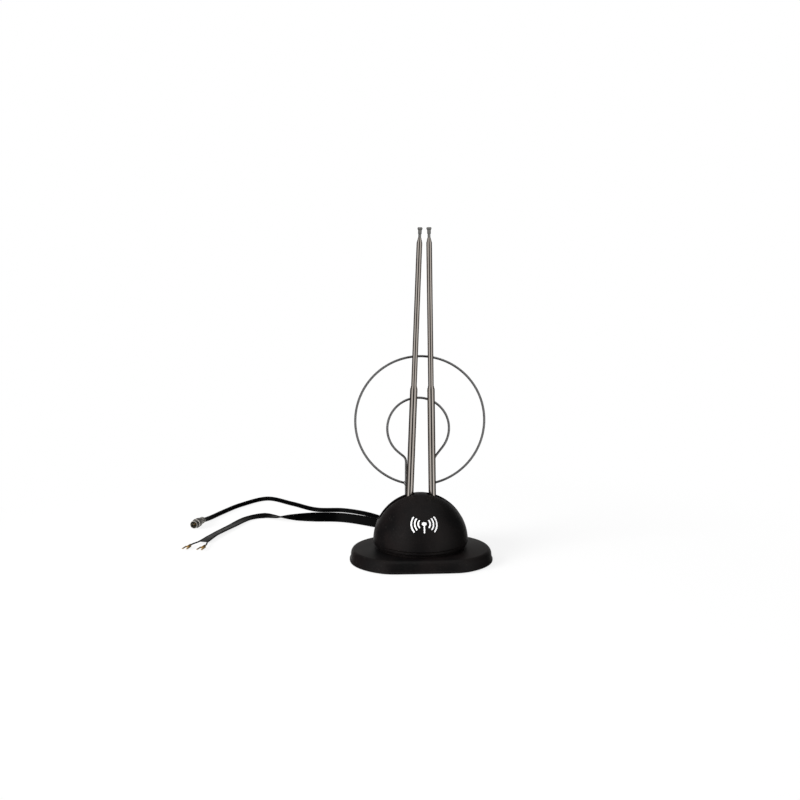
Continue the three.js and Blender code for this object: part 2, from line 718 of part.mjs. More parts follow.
// An insulating block on a post, with one brass sleeve for each leg.
function loopSocket() {
  const [front, back] = SOCKET.y;
  const [low, high] = SOCKET.z;
  const { halfWidth, y, footY, footHeight } = POST;
  let socket = block(-SOCKET.halfWidth, SOCKET.halfWidth, front, back, low, high)
    .add(block(-halfWidth, halfWidth, ...y, bracketFloor, high - 2))
    .add(block(-halfWidth, halfWidth, ...footY, bracketFloor, bracketFloor + footHeight));
  for (const { sign } of sides) {
    socket = socket.subtract(disc(SOCKET.bore, 0, 80, 20).translate([sign * LEG_X, LOOP_Y, 0]));
  }
  return socket;
}

function loopSleeve(x) {
  const { inner, outer, z: [low, high] } = SLEEVE;
  const profile = [[inner, low], [outer, low], [outer, high], [inner, high]];
  return turned(profile, 20).translate([x, LOOP_Y, 0]);
}

function buildLoops(root) {
  part(root, "loop_outer_ring", outerLoop(), LOOP_STEEL);
  part(root, "loop_inner_ring", innerLoop(), LOOP_STEEL);
  part(root, "loop_socket", loopSocket(), DARK_PLASTIC);
  for (const { name, sign } of sides) {
    part(root, `loop_sleeve_${name}`, loopSleeve(sign * LEG_X), BRASS);
  }
}

// ---------------------------------------------------------------- balun and wiring
function balunCore() {
  const { core, flange, flangeWidth, halfLength } = BALUN;
  const profile = [
    [0, -halfLength],
    [flange, -halfLength],
    [flange, -halfLength + flangeWidth],
    [core, -halfLength + flangeWidth],
    [core, halfLength - flangeWidth],
    [flange, halfLength - flangeWidth],
    [flange, halfLength],
    [0, halfLength],
  ];
  return turned(profile, 24).rotate([0, 90, 0]).translate([0, BALUN.y, BALUN.z]);
}

class Helix extends THREE.Curve {
  getPoint(t, target = new THREE.Vector3()) {
    const radius = BALUN.core + WINDING_RADIUS + 0.35;
    const span = 2 * (BALUN.halfLength - BALUN.flangeWidth - WINDING_RADIUS - 0.5);
    const angle = 2 * Math.PI * BALUN.turns * t;
    const y = BALUN.y + radius * Math.cos(angle);
    const z = BALUN.z + radius * Math.sin(angle);
    return target.set((t - 0.5) * span, y, z);
  }
}

const rodWire = (sign) =>
  wire(
    curveThrough([
      [sign * PIVOT.x, 8.2, bracketTop + 1.1],
      [sign * (PIVOT.x + 0.5), 14, 19.5],
      [sign * PIVOT.x, 22, 21.5],
      [sign * 10.5, 28, BALUN.z],
    ]),
    HOOKUP_RADIUS,
    12,
  );

const leadPitch = LEAD.halfWidth - LEAD.edgeRadius;
const loopWire = (sign) =>
  wire(
    curveThrough([
      [sign * LEG_X, LOOP_Y, 39],
      [sign * 15, 13, 34.5],
      [EXIT.leadX + sign * 8, 26, 29],
      [EXIT.leadX + sign * leadPitch, 34, EXIT.z + 3],
      [EXIT.leadX + sign * leadPitch, 35.5, EXIT.z + 1],
    ]),
    HOOKUP_RADIUS,
    16,
  );

function buildWiring(root) {
  part(root, "balun_core", balunCore(), FERRITE);
  part(root, "balun_winding", wire(new Helix(), WINDING_RADIUS, 8 * BALUN.turns), COPPER);
  for (const { name, sign } of sides) {
    part(root, `rod_wire_${name}`, rodWire(sign), RED_WIRE);
    part(root, `loop_wire_${name}`, loopWire(sign), WHITE_WIRE);
  }
}

// ---------------------------------------------------------------- cables
// The coaxial cable leaves the back of the dome, drops to the table and wanders off to the left.
const COAX_PATH = [
  [EXIT.coaxX, 36.5, EXIT.z],
  [EXIT.coaxX, 46, EXIT.z],
  [EXIT.coaxX, 56, EXIT.z - 0.5],
  [3, 76, 10],
  [-6, 100, COAX_REST + 0.4],
  [-24, 138, COAX_REST],
  [-54, 182, COAX_REST],
  [-86, 205, COAX_REST],
  [-120, 210, COAX_REST],
  [-156, 247, COAX_REST],
  [-194, 281, COAX_REST],
  [-226, 245, COAX_REST],
  [-244, 206, COAX_REST],
  [-256, 172, COAX_REST + 0.5],
  [-263, 147, PLUG.grip + 0.6],
];

// The flat lead's stations: x, y, z, and its roll about its own line in degrees (0 is flat).
const LEAD_PATH = [
  [EXIT.leadX, 36.5, EXIT.z, 0],
  [EXIT.leadX, 46, EXIT.z, 0],
  [EXIT.leadX, 56, EXIT.z - 0.5, 0],
  [-8, 75, 12, 35],
  [-18, 97, LEAD_ON_EDGE + 0.6, 75],
  [-46, 125, LEAD_ON_EDGE, 90],
  [-86, 152, LEAD_ON_EDGE, 88],
  [-120, 157, LEAD_ON_EDGE, 88],
  [-148, 161, 5.6, 50],
  [-167, 172, 3, 11],
  [-188, 183, 2.9, -15],
  [-206, 174, 2.4, -6],
  [-224, 132, 2.4, 3],
  [-238, 94, 2.6, 8],
  [-245, 66, 2.6, 0],
];

// The flat lead's section: two round wires joined by a thin web.
function leadSection() {
  const { halfWidth, edgeRadius } = LEAD;
  const points = [];
  const bulb = (centre, start) => {
    for (let i = 0; i <= 4; i++) {
      const t = start + rad(150) * (i / 2 - 1);
      points.push([centre + edgeRadius * Math.cos(t), edgeRadius * Math.sin(t)]);
    }
  };
  bulb(halfWidth - edgeRadius, 0);
  bulb(-halfWidth + edgeRadius, Math.PI);
  return points;
}

// The lead's centre line with its side and up directions at a fraction of its length.
function leadFrame(curve, rolls, t) {
  const centre = curve.getPoint(t);
  const ahead = curve.getTangent(t);
  const level = new THREE.Vector3(0, 0, 1).cross(ahead).normalize();
  const up = new THREE.Vector3().crossVectors(ahead, level);
  const place = t * (rolls.length - 1);
  const i = Math.min(Math.floor(place), rolls.length - 2);
  const roll = rad(THREE.MathUtils.lerp(rolls[i], rolls[i + 1], place - i));
  const side = level.clone().multiplyScalar(Math.cos(roll)).addScaledVector(up, Math.sin(roll));
  const thick = up.clone().multiplyScalar(Math.cos(roll)).addScaledVector(level, -Math.sin(roll));
  return { centre, ahead, side, thick };
}

const leadCurve = curveThrough(LEAD_PATH);
const leadRolls = LEAD_PATH.map((station) => station[3]);

function twinLead() {
  const section = leadSection();
  const steps = 44;
  const rings = [];
  for (let i = 0; i <= steps; i++) {
    const { centre, side, thick } = leadFrame(leadCurve, leadRolls, i / steps);
    rings.push(
      section.map(([x, y]) => centre.clone().addScaledVector(side, x).addScaledVector(thick, y)),
    );
  }
  let lead = loft(rings);
  for (const sign of [-1, 1]) {
    lead = lead.add(leadTail(sign));
  }
  return lead;
}

// Past the end of the web each wire runs on alone and ends in a lug.
function leadEnd(sign, distance, spread) {
  const { centre, ahead, side } = leadFrame(leadCurve, leadRolls, 1);
  const offset = sign * (LEAD.halfWidth - LEAD.edgeRadius + spread);
  return centre.addScaledVector(ahead, distance).addScaledVector(side, offset);
}

function leadTail(sign) {
  const points = [
    leadEnd(sign, TAIL.start, 0),
    leadEnd(sign, TAIL.start + 3, 0.3),
    leadEnd(sign, TAIL.end - 5, TAIL.spread * 0.85),
    leadEnd(sign, TAIL.end, TAIL.spread),
  ];
  return wire(new THREE.CatmullRomCurve3(points), LEAD.edgeRadius - 0.05, 8);
}

// A forked terminal: a crimped barrel and two flat prongs, lying along +X from the end of the wire.
function spadeLug(sign) {
  const { barrel, bore, fork, slot, halfThickness, end } = LUG;
  const bar = (radius, x0, x1) =>
    barAlongY(0, 0, radius, x0, x1, 16).rotate([0, 0, -90]);
  const prongs = block(6, end, -fork, fork, -halfThickness, halfThickness);
  const gap = block(9.4, end + 4, -slot, slot, -2, 2);
  const lug = bar(barrel, 1.3, 7.3).add(prongs.subtract(gap)).subtract(bar(bore, 0.6, 4.6));
  const from = leadEnd(sign, TAIL.end - 2, TAIL.spread);
  const to = leadEnd(sign, TAIL.end, TAIL.spread);
  const ahead = to.clone().sub(from).normalize();
  const heading = THREE.MathUtils.radToDeg(Math.atan2(ahead.y, ahead.x));
  const base = to.addScaledVector(ahead, -1);
  return lug.rotate([0, 0, heading]).translate([base.x, base.y, base.z]);
}

// A push-on television plug: knurled shell, crimp sleeve and centre pin, along +X from the cable's end.
const coaxCurve = curveThrough(COAX_PATH);

function alongCoaxEnd(body) {
  const end = coaxCurve.getPoint(1);
  const ahead = coaxCurve.getTangent(1);
  const heading = THREE.MathUtils.radToDeg(Math.atan2(ahead.y, ahead.x));
  return body.rotate([0, 90, 0]).rotate([0, 0, heading]).translate([end.x, end.y, end.z]);
}

function coaxPlugBody() {
  const { tail, grip, sleeve, socket, length } = PLUG;
  const outside = turned(
    [
      [0, -5],
      [tail - 0.2, -5],
      [tail, -4],
      [tail, 4],
      [grip - 0.6, 5],
      [grip, 5.5],
      [grip, 13],
      [grip - 0.4, 13.5],
      [sleeve, 13.5],
      [sleeve, length],
      [0, length],
    ],
    HOLE_STEPS,
  );
  const cableBore = disc(COAX_RADIUS + 0.7, -6, 0.8, 24);
  const mouth = disc(socket, 9, length + 1, 24);
  const pinHole = disc(PLUG.pin + 0.35, 0, 12, 12);
  return outside.subtract(cableBore).subtract(mouth).subtract(pinHole);
}

function coaxPlugPin() {
  const { pin, length } = PLUG;
  return turned([[0, 1.2], [pin, 1.2], [pin, length - 1.6], [pin / 2, length - 1], [0, length - 1]], 12);
}

function buildCables(root) {
  part(root, "coax_cable", wire(coaxCurve, COAX_RADIUS, 56, 8), CABLE_BLACK);
  part(root, "coax_plug_body", alongCoaxEnd(coaxPlugBody()), STEEL);
  part(root, "coax_plug_pin", alongCoaxEnd(coaxPlugPin()), BRASS);
  part(root, "twin_lead", twinLead(), CABLE_BLACK);
  [-1, 1].forEach((sign, i) => {
    part(root, `spade_lug_${i + 1}`, spadeLug(sign), BRASS);
  });
}

// ---------------------------------------------------------------- assembly
const antenna = new THREE.Group();
buildBase(antenna);
buildDome(antenna);
buildPivots(antenna);
buildRods(antenna);
buildLoops(antenna);
buildWiring(antenna);
buildCables(antenna);

export default antenna;
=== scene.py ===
"""Indoor television antenna: the finished surfaces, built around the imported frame.

Sizes below are in millimetres unless a comment says otherwise; meshes are made in metres.
+Z is up and the front of the antenna faces -Y.
"""
import json
import math

import bmesh
import bpy
from mathutils import Matrix, Vector, noise


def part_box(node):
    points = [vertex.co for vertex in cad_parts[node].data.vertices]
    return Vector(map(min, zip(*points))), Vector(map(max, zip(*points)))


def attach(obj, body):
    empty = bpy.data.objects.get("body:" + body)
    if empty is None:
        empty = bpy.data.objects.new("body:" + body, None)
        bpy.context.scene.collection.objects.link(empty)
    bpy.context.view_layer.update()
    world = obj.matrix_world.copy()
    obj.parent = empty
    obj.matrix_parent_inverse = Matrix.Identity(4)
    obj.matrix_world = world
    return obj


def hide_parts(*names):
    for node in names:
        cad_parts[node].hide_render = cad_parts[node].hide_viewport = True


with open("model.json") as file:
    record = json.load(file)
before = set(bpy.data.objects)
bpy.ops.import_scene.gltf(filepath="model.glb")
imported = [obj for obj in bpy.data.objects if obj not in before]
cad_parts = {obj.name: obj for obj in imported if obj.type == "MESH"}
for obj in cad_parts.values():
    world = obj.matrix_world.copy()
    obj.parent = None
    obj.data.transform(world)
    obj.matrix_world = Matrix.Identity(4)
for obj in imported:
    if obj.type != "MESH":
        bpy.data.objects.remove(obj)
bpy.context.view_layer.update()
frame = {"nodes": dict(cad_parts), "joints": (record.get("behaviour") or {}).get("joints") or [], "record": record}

MM = 0.001
NODES = frame["nodes"]
JOINTS = {joint["name"]: joint for joint in frame["joints"]}
NODE_SLOTS = {row["node"]: row["material_slot"] for row in frame["record"]["subparts"]}
SIDES = {"left": -1, "right": 1}

# base and dome; the power is the oval's exponent, which would be 2 for an ellipse
BASE = {"half_width": 76, "half_depth": 59.7, "centre_y": -8.3, "power": 2.16}
BASE_FRONT = -61.5
BASE_FRONT_EASE = 3
BASE_FLOOR = 0.8
BASE_TOP = 13.4
BASE_WALL = 2.2
BASE_LIP = 0.9
DOME_RADIUS = 51.4
DOME_FLOOR = 19.4
DOME_WALL = 2.5
NECK_RADIUS = 50.4
NECK_INNER = 45.9
NECK_FOOT = 9
NECK_TOP = 19.1
NECK_REGISTER = 2.8
WAIST = {"radius": 48, "top": 15.6, "slope": 0.9}
NOTCH = {"left": -12.5, "right": 11.5, "front": 40, "back": 60, "top": 27.4}
NOTCH_PLAY = 0.3
SLOT_HALF = 5.2
SLOT_REACH = (24, 80)  # from the pivot, to well inside and well outside the dome's wall
LEAN_IN = 2.5  # degrees past upright
LEAN_OUT = 48  # degrees
DOME_SCREWS = [(-31, -24), (31, 24)]
COVER_SCREWS = [(-59, -8), (59, -8), (0, 42)]
SCREW_HOLE = 1.6
DOME_BOSS = {"radius": 4, "foot": BASE_TOP + 0.3}
COVER_BOSS = {"radius": 3.5, "foot": 2.7}
FOOT_RADIUS = 6

# rods
TUBE_DIAMETERS = [8, 7, 6, 5, 4]
TUBE_STEP = 0.5  # from one tube's radius to the next one's
TUBE_WALL = 0.3
TUBE_PLAY = 0.05
MOUTH = 2
COLLAR = 2.6
COLLAR_RISE = 0.15
TIP = {"diameter": 3, "pin": 0.7, "play": 0.3}
CAP = {"diameter": 5.2, "stem": 3.8, "stem_length": 4.5}

# loops
WIRE_RADIUS = 1.25
LOOP_Y = 9
LEG_X = 15.2
LEG_FOOT = 43
OUTER_LOOP = {"radius": 70, "x": 0, "z": 148.2}
INNER_LOOP = {"radius": 33.5, "x": -2, "z": 139.9}
LEG_TOP = 107.3
LEG_BEND = 4
LEG_HOLE = (WIRE_RADIUS + 0.5, 50, 80)  # radius, and the heights it is cut between
SOLDER = {"thickness": 0.5, "half_height": 3.1, "roundness": 0.7, "shift": 0.35}
SOLDER_LUMPS = {"size": 0.16, "density": 0.9}
SOLDER_LAP = {"reach": 0.45, "height": 1.4}

# cables
EXIT_Z = 23
COAX_X = 6.5
LEAD_X = -4.5
COAX_RADIUS = 2.9
COAX_REST = 3.1  # height of its centre line on the table
LEAD_HALF_WIDTH = 6.1
LEAD_ON_EDGE = 6.5  # height of its centre line where it stands on edge
LEAD_EDGE = 0.9  # radius of its round edges
LEAD_WEB_HALF = 0.45
PLUG = {"tail": 4.3, "grip": 5.6, "sleeve": 4.8, "socket": 4.1, "pin_bore": 0.9, "length": 19}
KNURL = {"foot": 6, "top": 12.6, "depth": 0.035, "period": 4}

# Where the round cable's centre line runs, from inside the dome to the plug.
COAX_STATIONS = [
    (COAX_X, 36.5, EXIT_Z),
    (COAX_X, 46, EXIT_Z),
    (COAX_X, 56, EXIT_Z - 0.5),
    (3, 76, 10),
    (-6, 100, COAX_REST + 0.4),
    (-24, 138, COAX_REST),
    (-54, 182, COAX_REST),
    (-86, 205, COAX_REST),
    (-120, 210, COAX_REST),
    (-156, 247, COAX_REST),
    (-194, 281, COAX_REST),
    (-226, 245, COAX_REST),
    (-244, 206, COAX_REST),
    (-256, 172, COAX_REST + 0.5),
    (-263, 147, PLUG["grip"] + 0.6),
]

# The same for the flat lead. The last value is its roll about its own line, in degrees.
LEAD_STATIONS = [
    (LEAD_X, 36.5, EXIT_Z, 0),
    (LEAD_X, 46, EXIT_Z, 0),
    (LEAD_X, 56, EXIT_Z - 0.5, 0),
    (-8, 75, 12, 35),
    (-18, 97, LEAD_ON_EDGE + 0.6, 75),
    (-46, 125, LEAD_ON_EDGE, 90),
    (-86, 152, LEAD_ON_EDGE, 88),
    (-120, 157, LEAD_ON_EDGE, 88),
    (-148, 161, 5.6, 50),
    (-167, 172, 3, 11),
    (-188, 183, 2.9, -15),
    (-206, 174, 2.4, -6),
    (-224, 132, 2.4, 3),
    (-238, 94, 2.6, 8),
    (-245, 66, 2.6, 0),
]

# Each of the lead's two wires beyond the web: distance past its end, and spread to the side.
TAIL_STATIONS = [(-1, 0), (2, 0.3), (11, 2.975), (16, 3.5)]

# printed mark, with its angles in degrees
MARK = {"elevation": 33.5, "stroke": 1.5, "lift": 0.04, "sink": 0.05}
MARK_WAVES = {"radii": (6.2, 9.8, 13.4), "half_angle": 36, "steps": 18}
MARK_MAST = {"top": -2, "foot": -9}
MARK_DOT = {"half_length": 0.9, "stroke": 3.4}

# softened edges of the frame's own meshes; the angle is in degrees
SOFTENING = {"width": 0.12, "angle": 40}

# What reflections see. A pair is where a change starts and where it is complete. The near and far angles
# are in degrees to either side of the camera; away, foot, height and fade are parts of a unit direction,
# away from the camera or upwards.
SOFTBOXES = {"near": (15, 33), "far": (42, 100), "foot": (-0.9, -0.75), "left": 1.0, "right": 1.05}
TOP_BOX = {"height": (0.6, 0.92), "strength": 0.6}
BACKDROP = {"away": (0.75, 0.92), "foot": (-0.6, -0.4), "fade": (-0.1, 0.45), "faded": 0.15, "strength": 0.8}
ROOM_GLOW = 0.03
ROOM_TINT = (1, 0.985, 0.965)

# The even light from all round, less of it from the right.
FILL = {"reach": 0.9, "left": 0.7, "right": 0.22}

# Lights, aimed at the origin: place and side in metres, power in watts.
LIGHTS = {
    "overhead": {"place": (-0.3, -0.5, 2.2), "side": 2.4, "power": 14},
    "key": {"place": (-2.2, -1.1, 1.0), "side": 1.2, "power": 100},
}

# Half the floor's width, and the distances between which it turns to white, in metres.
FLOOR_HALF = 12.0
FLOOR_FADE = {"start": 0.1, "end": 0.6, "least": 0.8}

# The camera: focal length in pixels, for an image this many pixels wide; yaw and pitch in degrees.
IMAGE_WIDTH = 800
SENSOR_WIDTH = 36
CAMERA = {"focal": 800, "distance": 849.9, "height": 259.5, "pitch": 5.89, "yaw": 3.58, "aside": 22.26}


# -------- node trees
class Tree:
    """A short way to add and join the shader nodes of a material or a world."""

    def __init__(self, owner):
        owner.use_nodes = True
        self.tree = owner.node_tree
        self.tree.nodes.clear()

    def add(self, kind, inputs=None, **settings):
        node = self.tree.nodes.new(kind)
        for key, value in settings.items():
            setattr(node, key, value)
        for key, value in (inputs or {}).items():
            self.put(node.inputs[key], value)
        return node

    def put(self, socket, value):
        if isinstance(value, bpy.types.NodeSocket):
            self.tree.links.new(value, socket)
        else:
            socket.default_value = value

    def math(self, operation, a, b=0.0):
        node = self.add("ShaderNodeMath", operation=operation)
        self.put(node.inputs[0], a)
        self.put(node.inputs[1], b)
        return node.outputs[0]

    def times(self, a, b):
        return self.math("MULTIPLY", a, b)

    def plus(self, a, b):
        return self.math("ADD", a, b)

    def vector(self, operation, a, b=(0, 0, 0)):
        """A length or a dot product is a number; any other operation gives a vector."""
        node = self.add("ShaderNodeVectorMath", operation=operation)
        self.put(node.inputs[0], a)
        self.put(node.inputs[1], b)
        return node.outputs["Value" if operation in ("LENGTH", "DOT_PRODUCT") else "Vector"]

    def ramp(self, value, low, high, to_low=0.0, to_high=1.0, smooth=False):
        kind = "SMOOTHSTEP" if smooth else "LINEAR"
        node = self.add("ShaderNodeMapRange", interpolation_type=kind)
        for key, item in zip(range(5), (value, low, high, to_low, to_high)):
            self.put(node.inputs[key], item)
        return node.outputs[0]

    def mix(self, factor, a, b):
        node = self.add("ShaderNodeMix", data_type="RGBA")
        self.put(node.inputs["Factor"], factor)
        self.put(node.inputs[6], a)
        self.put(node.inputs[7], b)
        return node.outputs[2]

    def noise(self, vector, scale, detail=3.0, roughness=0.5, distortion=0.0):
        """Cloudy noise; its scale is in lumps per metre."""
        inputs = {"Scale": scale, "Detail": detail, "Roughness": roughness, "Distortion": distortion}
        node = self.add("ShaderNodeTexNoise", inputs)
        self.put(node.inputs["Vector"], vector)
        return node.outputs["Fac"]

    def object_coordinates(self, stretch=(1, 1, 1)):
        coordinates = self.add("ShaderNodeTexCoord").outputs["Object"]
        mapping = self.add("ShaderNodeMapping", {"Scale": stretch})
        self.put(mapping.inputs["Vector"], coordinates)
        return mapping.outputs[0]

    def mix_shaders(self, factor, a, b):
        node = self.add("ShaderNodeMixShader", {"Fac": factor})
        self.put(node.inputs[1], a.outputs[0])
        self.put(node.inputs[2], b.outputs[0])
        return node

    def show(self, kind, shader):
        """Sends a shader to the tree's output, which is of the given kind."""
        output = self.add(kind)
        self.put(output.inputs[0], shader.outputs[0])


def rgb(r, g, b):
    return (r, g, b, 1.0)


def material(name, build):
    """A material whose principled inputs come from build(tree), a dict of input name to value or socket."""
    made = bpy.data.materials.new(name)
    tree = Tree(made)
    tree.show("ShaderNodeOutputMaterial", tree.add("ShaderNodeBsdfPrincipled", build(tree)))
    return made


def bump(tree, height, strength, distance_mm):
    node = tree.add("ShaderNodeBump", {"Strength": strength, "Distance": distance_mm * MM})
    tree.put(node.inputs["Height"], height)
    return node.outputs[0]


def edge_mask(tree, radius_mm):
    """Near 1 along convex edges, from the difference between the true normal and a rounded one."""
    rounded = tree.add("ShaderNodeBevel", {"Radius": radius_mm * MM}, samples=4).outputs[0]
    flat = tree.add("ShaderNodeNewGeometry").outputs["Normal"]
    return tree.ramp(tree.vector("DOT_PRODUCT", rounded, flat), 0.995, 0.9)


def moulded_plastic(dark, pale, roughness, grain_mm=0.45, wear=0.5):
    """Moulded plastic with a fine spark-eroded grain, faint blotches, dust and rubbed edges."""

    def build(tree):
        place = tree.object_coordinates()
        blotch = tree.noise(place, 28, 4, 0.6)
        cloud = tree.noise(place, 9, 2)
        grain = tree.noise(place, 1 / (grain_mm * MM), 2, 0.6)
        speck = tree.ramp(tree.noise(place, 900, 1), 0.68, 0.76)
        colour = tree.mix(tree.ramp(blotch, 0.35, 0.7), rgb(*dark), rgb(*pale))
        worn = tree.times(edge_mask(tree, 0.7), tree.ramp(tree.noise(place, 160, 3), 0.35, 0.65))
        worn = tree.times(worn, wear)
        colour = tree.mix(worn, colour, rgb(*[5 * c for c in pale]))
        colour = tree.mix(tree.times(speck, 0.12), colour, rgb(0.12, 0.11, 0.1))
        rough = tree.ramp(cloud, 0.3, 0.7, roughness - 0.06, roughness + 0.07)
        rough = tree.plus(rough, tree.times(worn, -0.12))
        return {
            "Base Color": colour,
            "Roughness": rough,
            "IOR": 1.49,
            "Specular IOR Level": 0.17,
            "Normal": bump(tree, grain, 0.5, 0.07),
        }

    return build


def drawn_metal(bright, dull, roughness, streak=30, edge=(0.2, 0.16, 0.13), spots=0.35):
    """Plated metal drawn along its own Z: long fine streaks, hazy handling marks and brown tarnish spots."""

    def build(tree):
        along = tree.object_coordinates((1, 1, 1 / streak))
        place = tree.object_coordinates()
        lines = tree.noise(along, 5200, 2, 0.55)
        bands = tree.noise(along, 900, 2)
        haze = tree.noise(place, 70, 4, 0.6)
        tarnish = tree.ramp(tree.noise(place, 260, 4, 0.65), 0.6, 0.75)
        colour = tree.mix(tree.ramp(bands, 0.3, 0.7), rgb(*bright), rgb(*dull))
        colour = tree.mix(tree.times(tarnish, spots), colour, rgb(*[0.45 * c for c in dull]))
        rough = tree.ramp(haze, 0.35, 0.7, roughness * 0.8, roughness * 1.35)
        rough = tree.plus(rough, tree.times(tarnish, 0.15))
        return {
            "Base Color": colour,
            "Metallic": 1.0,
            "Roughness": rough,
            "Specular Tint": rgb(*edge),
            "Normal": bump(tree, lines, 0.25, 0.02),
        }

    return build


def plated_steel(bright, dull, roughness, scratch=1800):
    """Zinc- or nickel-plated small hardware: cloudy plating with random fine scratches."""

    def build(tree):
        place = tree.object_coordinates()
        cloud = tree.noise(place, 450, 4, 0.6)
        marks = tree.noise(tree.object_coordinates((1, 0.12, 1)), scratch, 3, 0.7)
        colour = tree.mix(tree.ramp(cloud, 0.35, 0.65), rgb(*bright), rgb(*dull))
        rough = tree.ramp(marks, 0.3, 0.7, roughness * 0.75, roughness * 1.3)
        return {
            "Base Color": colour,
            "Metallic": 1.0,
            "Roughness": rough,
            "Normal": bump(tree, marks, 0.3, 0.02),
        }

    return build


def cast_surface(dark, pale, roughness):
    """Sand-cast metal: coarse lumps and pores."""

    def build(tree):
        place = tree.object_coordinates()
        lumps = tree.noise(place, 700, 5, 0.7)
        colour = tree.mix(tree.ramp(lumps, 0.3, 0.7), rgb(*dark), rgb(*pale))
        return {
            "Base Color": colour,
            "Metallic": 0.7,
            "Roughness": roughness,
            "Normal": bump(tree, lumps, 0.8, 0.4),
        }

    return build


def soft_vinyl(colour, roughness, coat=0.3, shine=0.3):
    """Extruded vinyl: smooth and glossy, with faint lengthwise drag lines, scuffs and dust."""

    def build(tree):
        place = tree.object_coordinates()
        drag = tree.noise(place, 1500, 2, 0.5, 0.4)
        wave = tree.noise(place, 120, 3)
        scuff = tree.ramp(tree.noise(place, 420, 4, 0.7), 0.6, 0.72)
        scuffed = rgb(*[0.003 + 2 * c for c in colour])
        rough = tree.ramp(wave, 0.3, 0.7, roughness * 0.75, roughness * 1.3)
        rough = tree.plus(rough, tree.times(scuff, 0.2))
        return {
            "Base Color": tree.mix(tree.times(scuff, 0.4), rgb(*colour), scuffed),
            "Roughness": rough,
            "IOR": 1.52,
            "Specular IOR Level": shine,
            "Coat Weight": coat,
            "Coat Roughness": 0.12,
            "Normal": bump(tree, drag, 0.2, 0.03),
        }

    return build


def rubber_surface(tree):
    place = tree.object_coordinates()
    grain = tree.noise(place, 2600, 3, 0.6)
    dust = tree.ramp(tree.noise(place, 320, 4, 0.6), 0.5, 0.75)
    colour = tree.mix(tree.times(dust, 0.35), rgb(0.008, 0.008, 0.008), rgb(0.035, 0.033, 0.03))
    return {"Base Color": colour, "Roughness": 0.8, "Normal": bump(tree, grain, 0.5, 0.05)}


def laminate(tree):
    """Brown resin-bonded paper board: crossed fibres under a waxy face."""
    fibres = tree.noise(tree.object_coordinates((1, 0.08, 1)), 1400, 3, 0.6)
    cross = tree.noise(tree.object_coordinates((0.08, 1, 1)), 1100, 3, 0.6)
    both = tree.times(fibres, cross)
    colour = tree.mix(tree.ramp(both, 0.15, 0.4), rgb(0.09, 0.036, 0.012), rgb(0.2, 0.095, 0.035))
    return {"Base Color": colour, "Roughness": 0.42, "Normal": bump(tree, both, 0.3, 0.04)}


def printed_ink(tree):
    """White pad-printed ink, thin enough for the plastic's grain to break it up a little."""
    place = tree.object_coordinates()
    thin = tree.ramp(tree.noise(place, 1500, 3, 0.6), 0.62, 0.75)
    colour = tree.mix(tree.times(thin, 0.35), rgb(0.86, 0.86, 0.87), rgb(0.35, 0.35, 0.37))
    grain = tree.noise(place, 2200, 2)
    return {"Base Color": colour, "Roughness": 0.55, "Normal": bump(tree, grain, 0.3, 0.03)}


FINISHES = {
    "black_plastic": moulded_plastic((0.0018, 0.0017, 0.0019), (0.0062, 0.0044, 0.0043), 0.44),
    "dark_plastic": moulded_plastic((0.003, 0.003, 0.0031), (0.006, 0.006, 0.006), 0.62, 0.8, wear=0.2),
    "rubber": rubber_surface,
    "cast_iron": cast_surface((0.03, 0.03, 0.032), (0.1, 0.095, 0.09), 0.75),
    "zinc_steel": plated_steel((0.6, 0.6, 0.58), (0.42, 0.42, 0.4), 0.3),
    "plug_nickel": plated_steel((0.62, 0.6, 0.56), (0.5, 0.48, 0.44), 0.24),
    "rod_nickel": drawn_metal((0.5, 0.462, 0.43), (0.4, 0.365, 0.335), 0.09),
    "tip_metal": drawn_metal((0.38, 0.38, 0.37), (0.26, 0.26, 0.25), 0.3, edge=(0.3, 0.3, 0.3)),
    "loop_wire": drawn_metal(
        (0.34, 0.34, 0.345), (0.22, 0.22, 0.225), 0.34, streak=1, edge=(0.3, 0.3, 0.3), spots=0.6
    ),
    "brass": plated_steel((0.62, 0.43, 0.16), (0.46, 0.29, 0.09), 0.26),
    "solder": plated_steel((0.5, 0.5, 0.5), (0.33, 0.33, 0.34), 0.34, scratch=900),
    "phenolic": laminate,
    "ferrite": cast_surface((0.012, 0.012, 0.013), (0.03, 0.03, 0.032), 0.55),
    "enamelled_copper": plated_steel((0.55, 0.2, 0.08), (0.36, 0.11, 0.04), 0.2),
    "red_insulation": soft_vinyl((0.3, 0.014, 0.01), 0.35),
    "white_insulation": soft_vinyl((0.6, 0.57, 0.48), 0.38),
    "cable_jacket": soft_vinyl((0.0007, 0.0007, 0.0008), 0.26, coat=0.03, shine=0.05),
    "printed_ink": printed_ink,
}
MATERIALS = {name: material(name, build) for name, build in FINISHES.items()}


# -------- mesh building
def put_in_scene(name, data):
    made = bpy.data.objects.new(name, data)
    bpy.context.scene.collection.objects.link(made)
    return made


def build_object(name, points, faces, finish, sharp_angle=34, look=None):
    """A mesh object from points in millimetres, with outward normals, smooth but for its sharp edges.

    Its finish is a slot of the record, or one of this script's own; look is the material's name where that
    differs.
    """
    mesh = bpy.data.meshes.new(name)
    mesh.from_pydata([Vector(p) * MM for p in points], [], faces)
    work = bmesh.new()
    work.from_mesh(mesh)
    bmesh.ops.remove_doubles(work, verts=work.verts, dist=1e-7)
    bmesh.ops.recalc_face_normals(work, faces=work.faces)
    work.to_mesh(mesh)
    work.free()
    shade(mesh, sharp_angle)
    mesh.materials.append(MATERIALS[look or finish])
    made = put_in_scene(name, mesh)
    return made


def shade(mesh, sharp_angle=34):
    mesh.polygons.foreach_set("use_smooth", [True] * len(mesh.polygons))
    mesh.set_sharp_from_angle(angle=math.radians(sharp_angle))


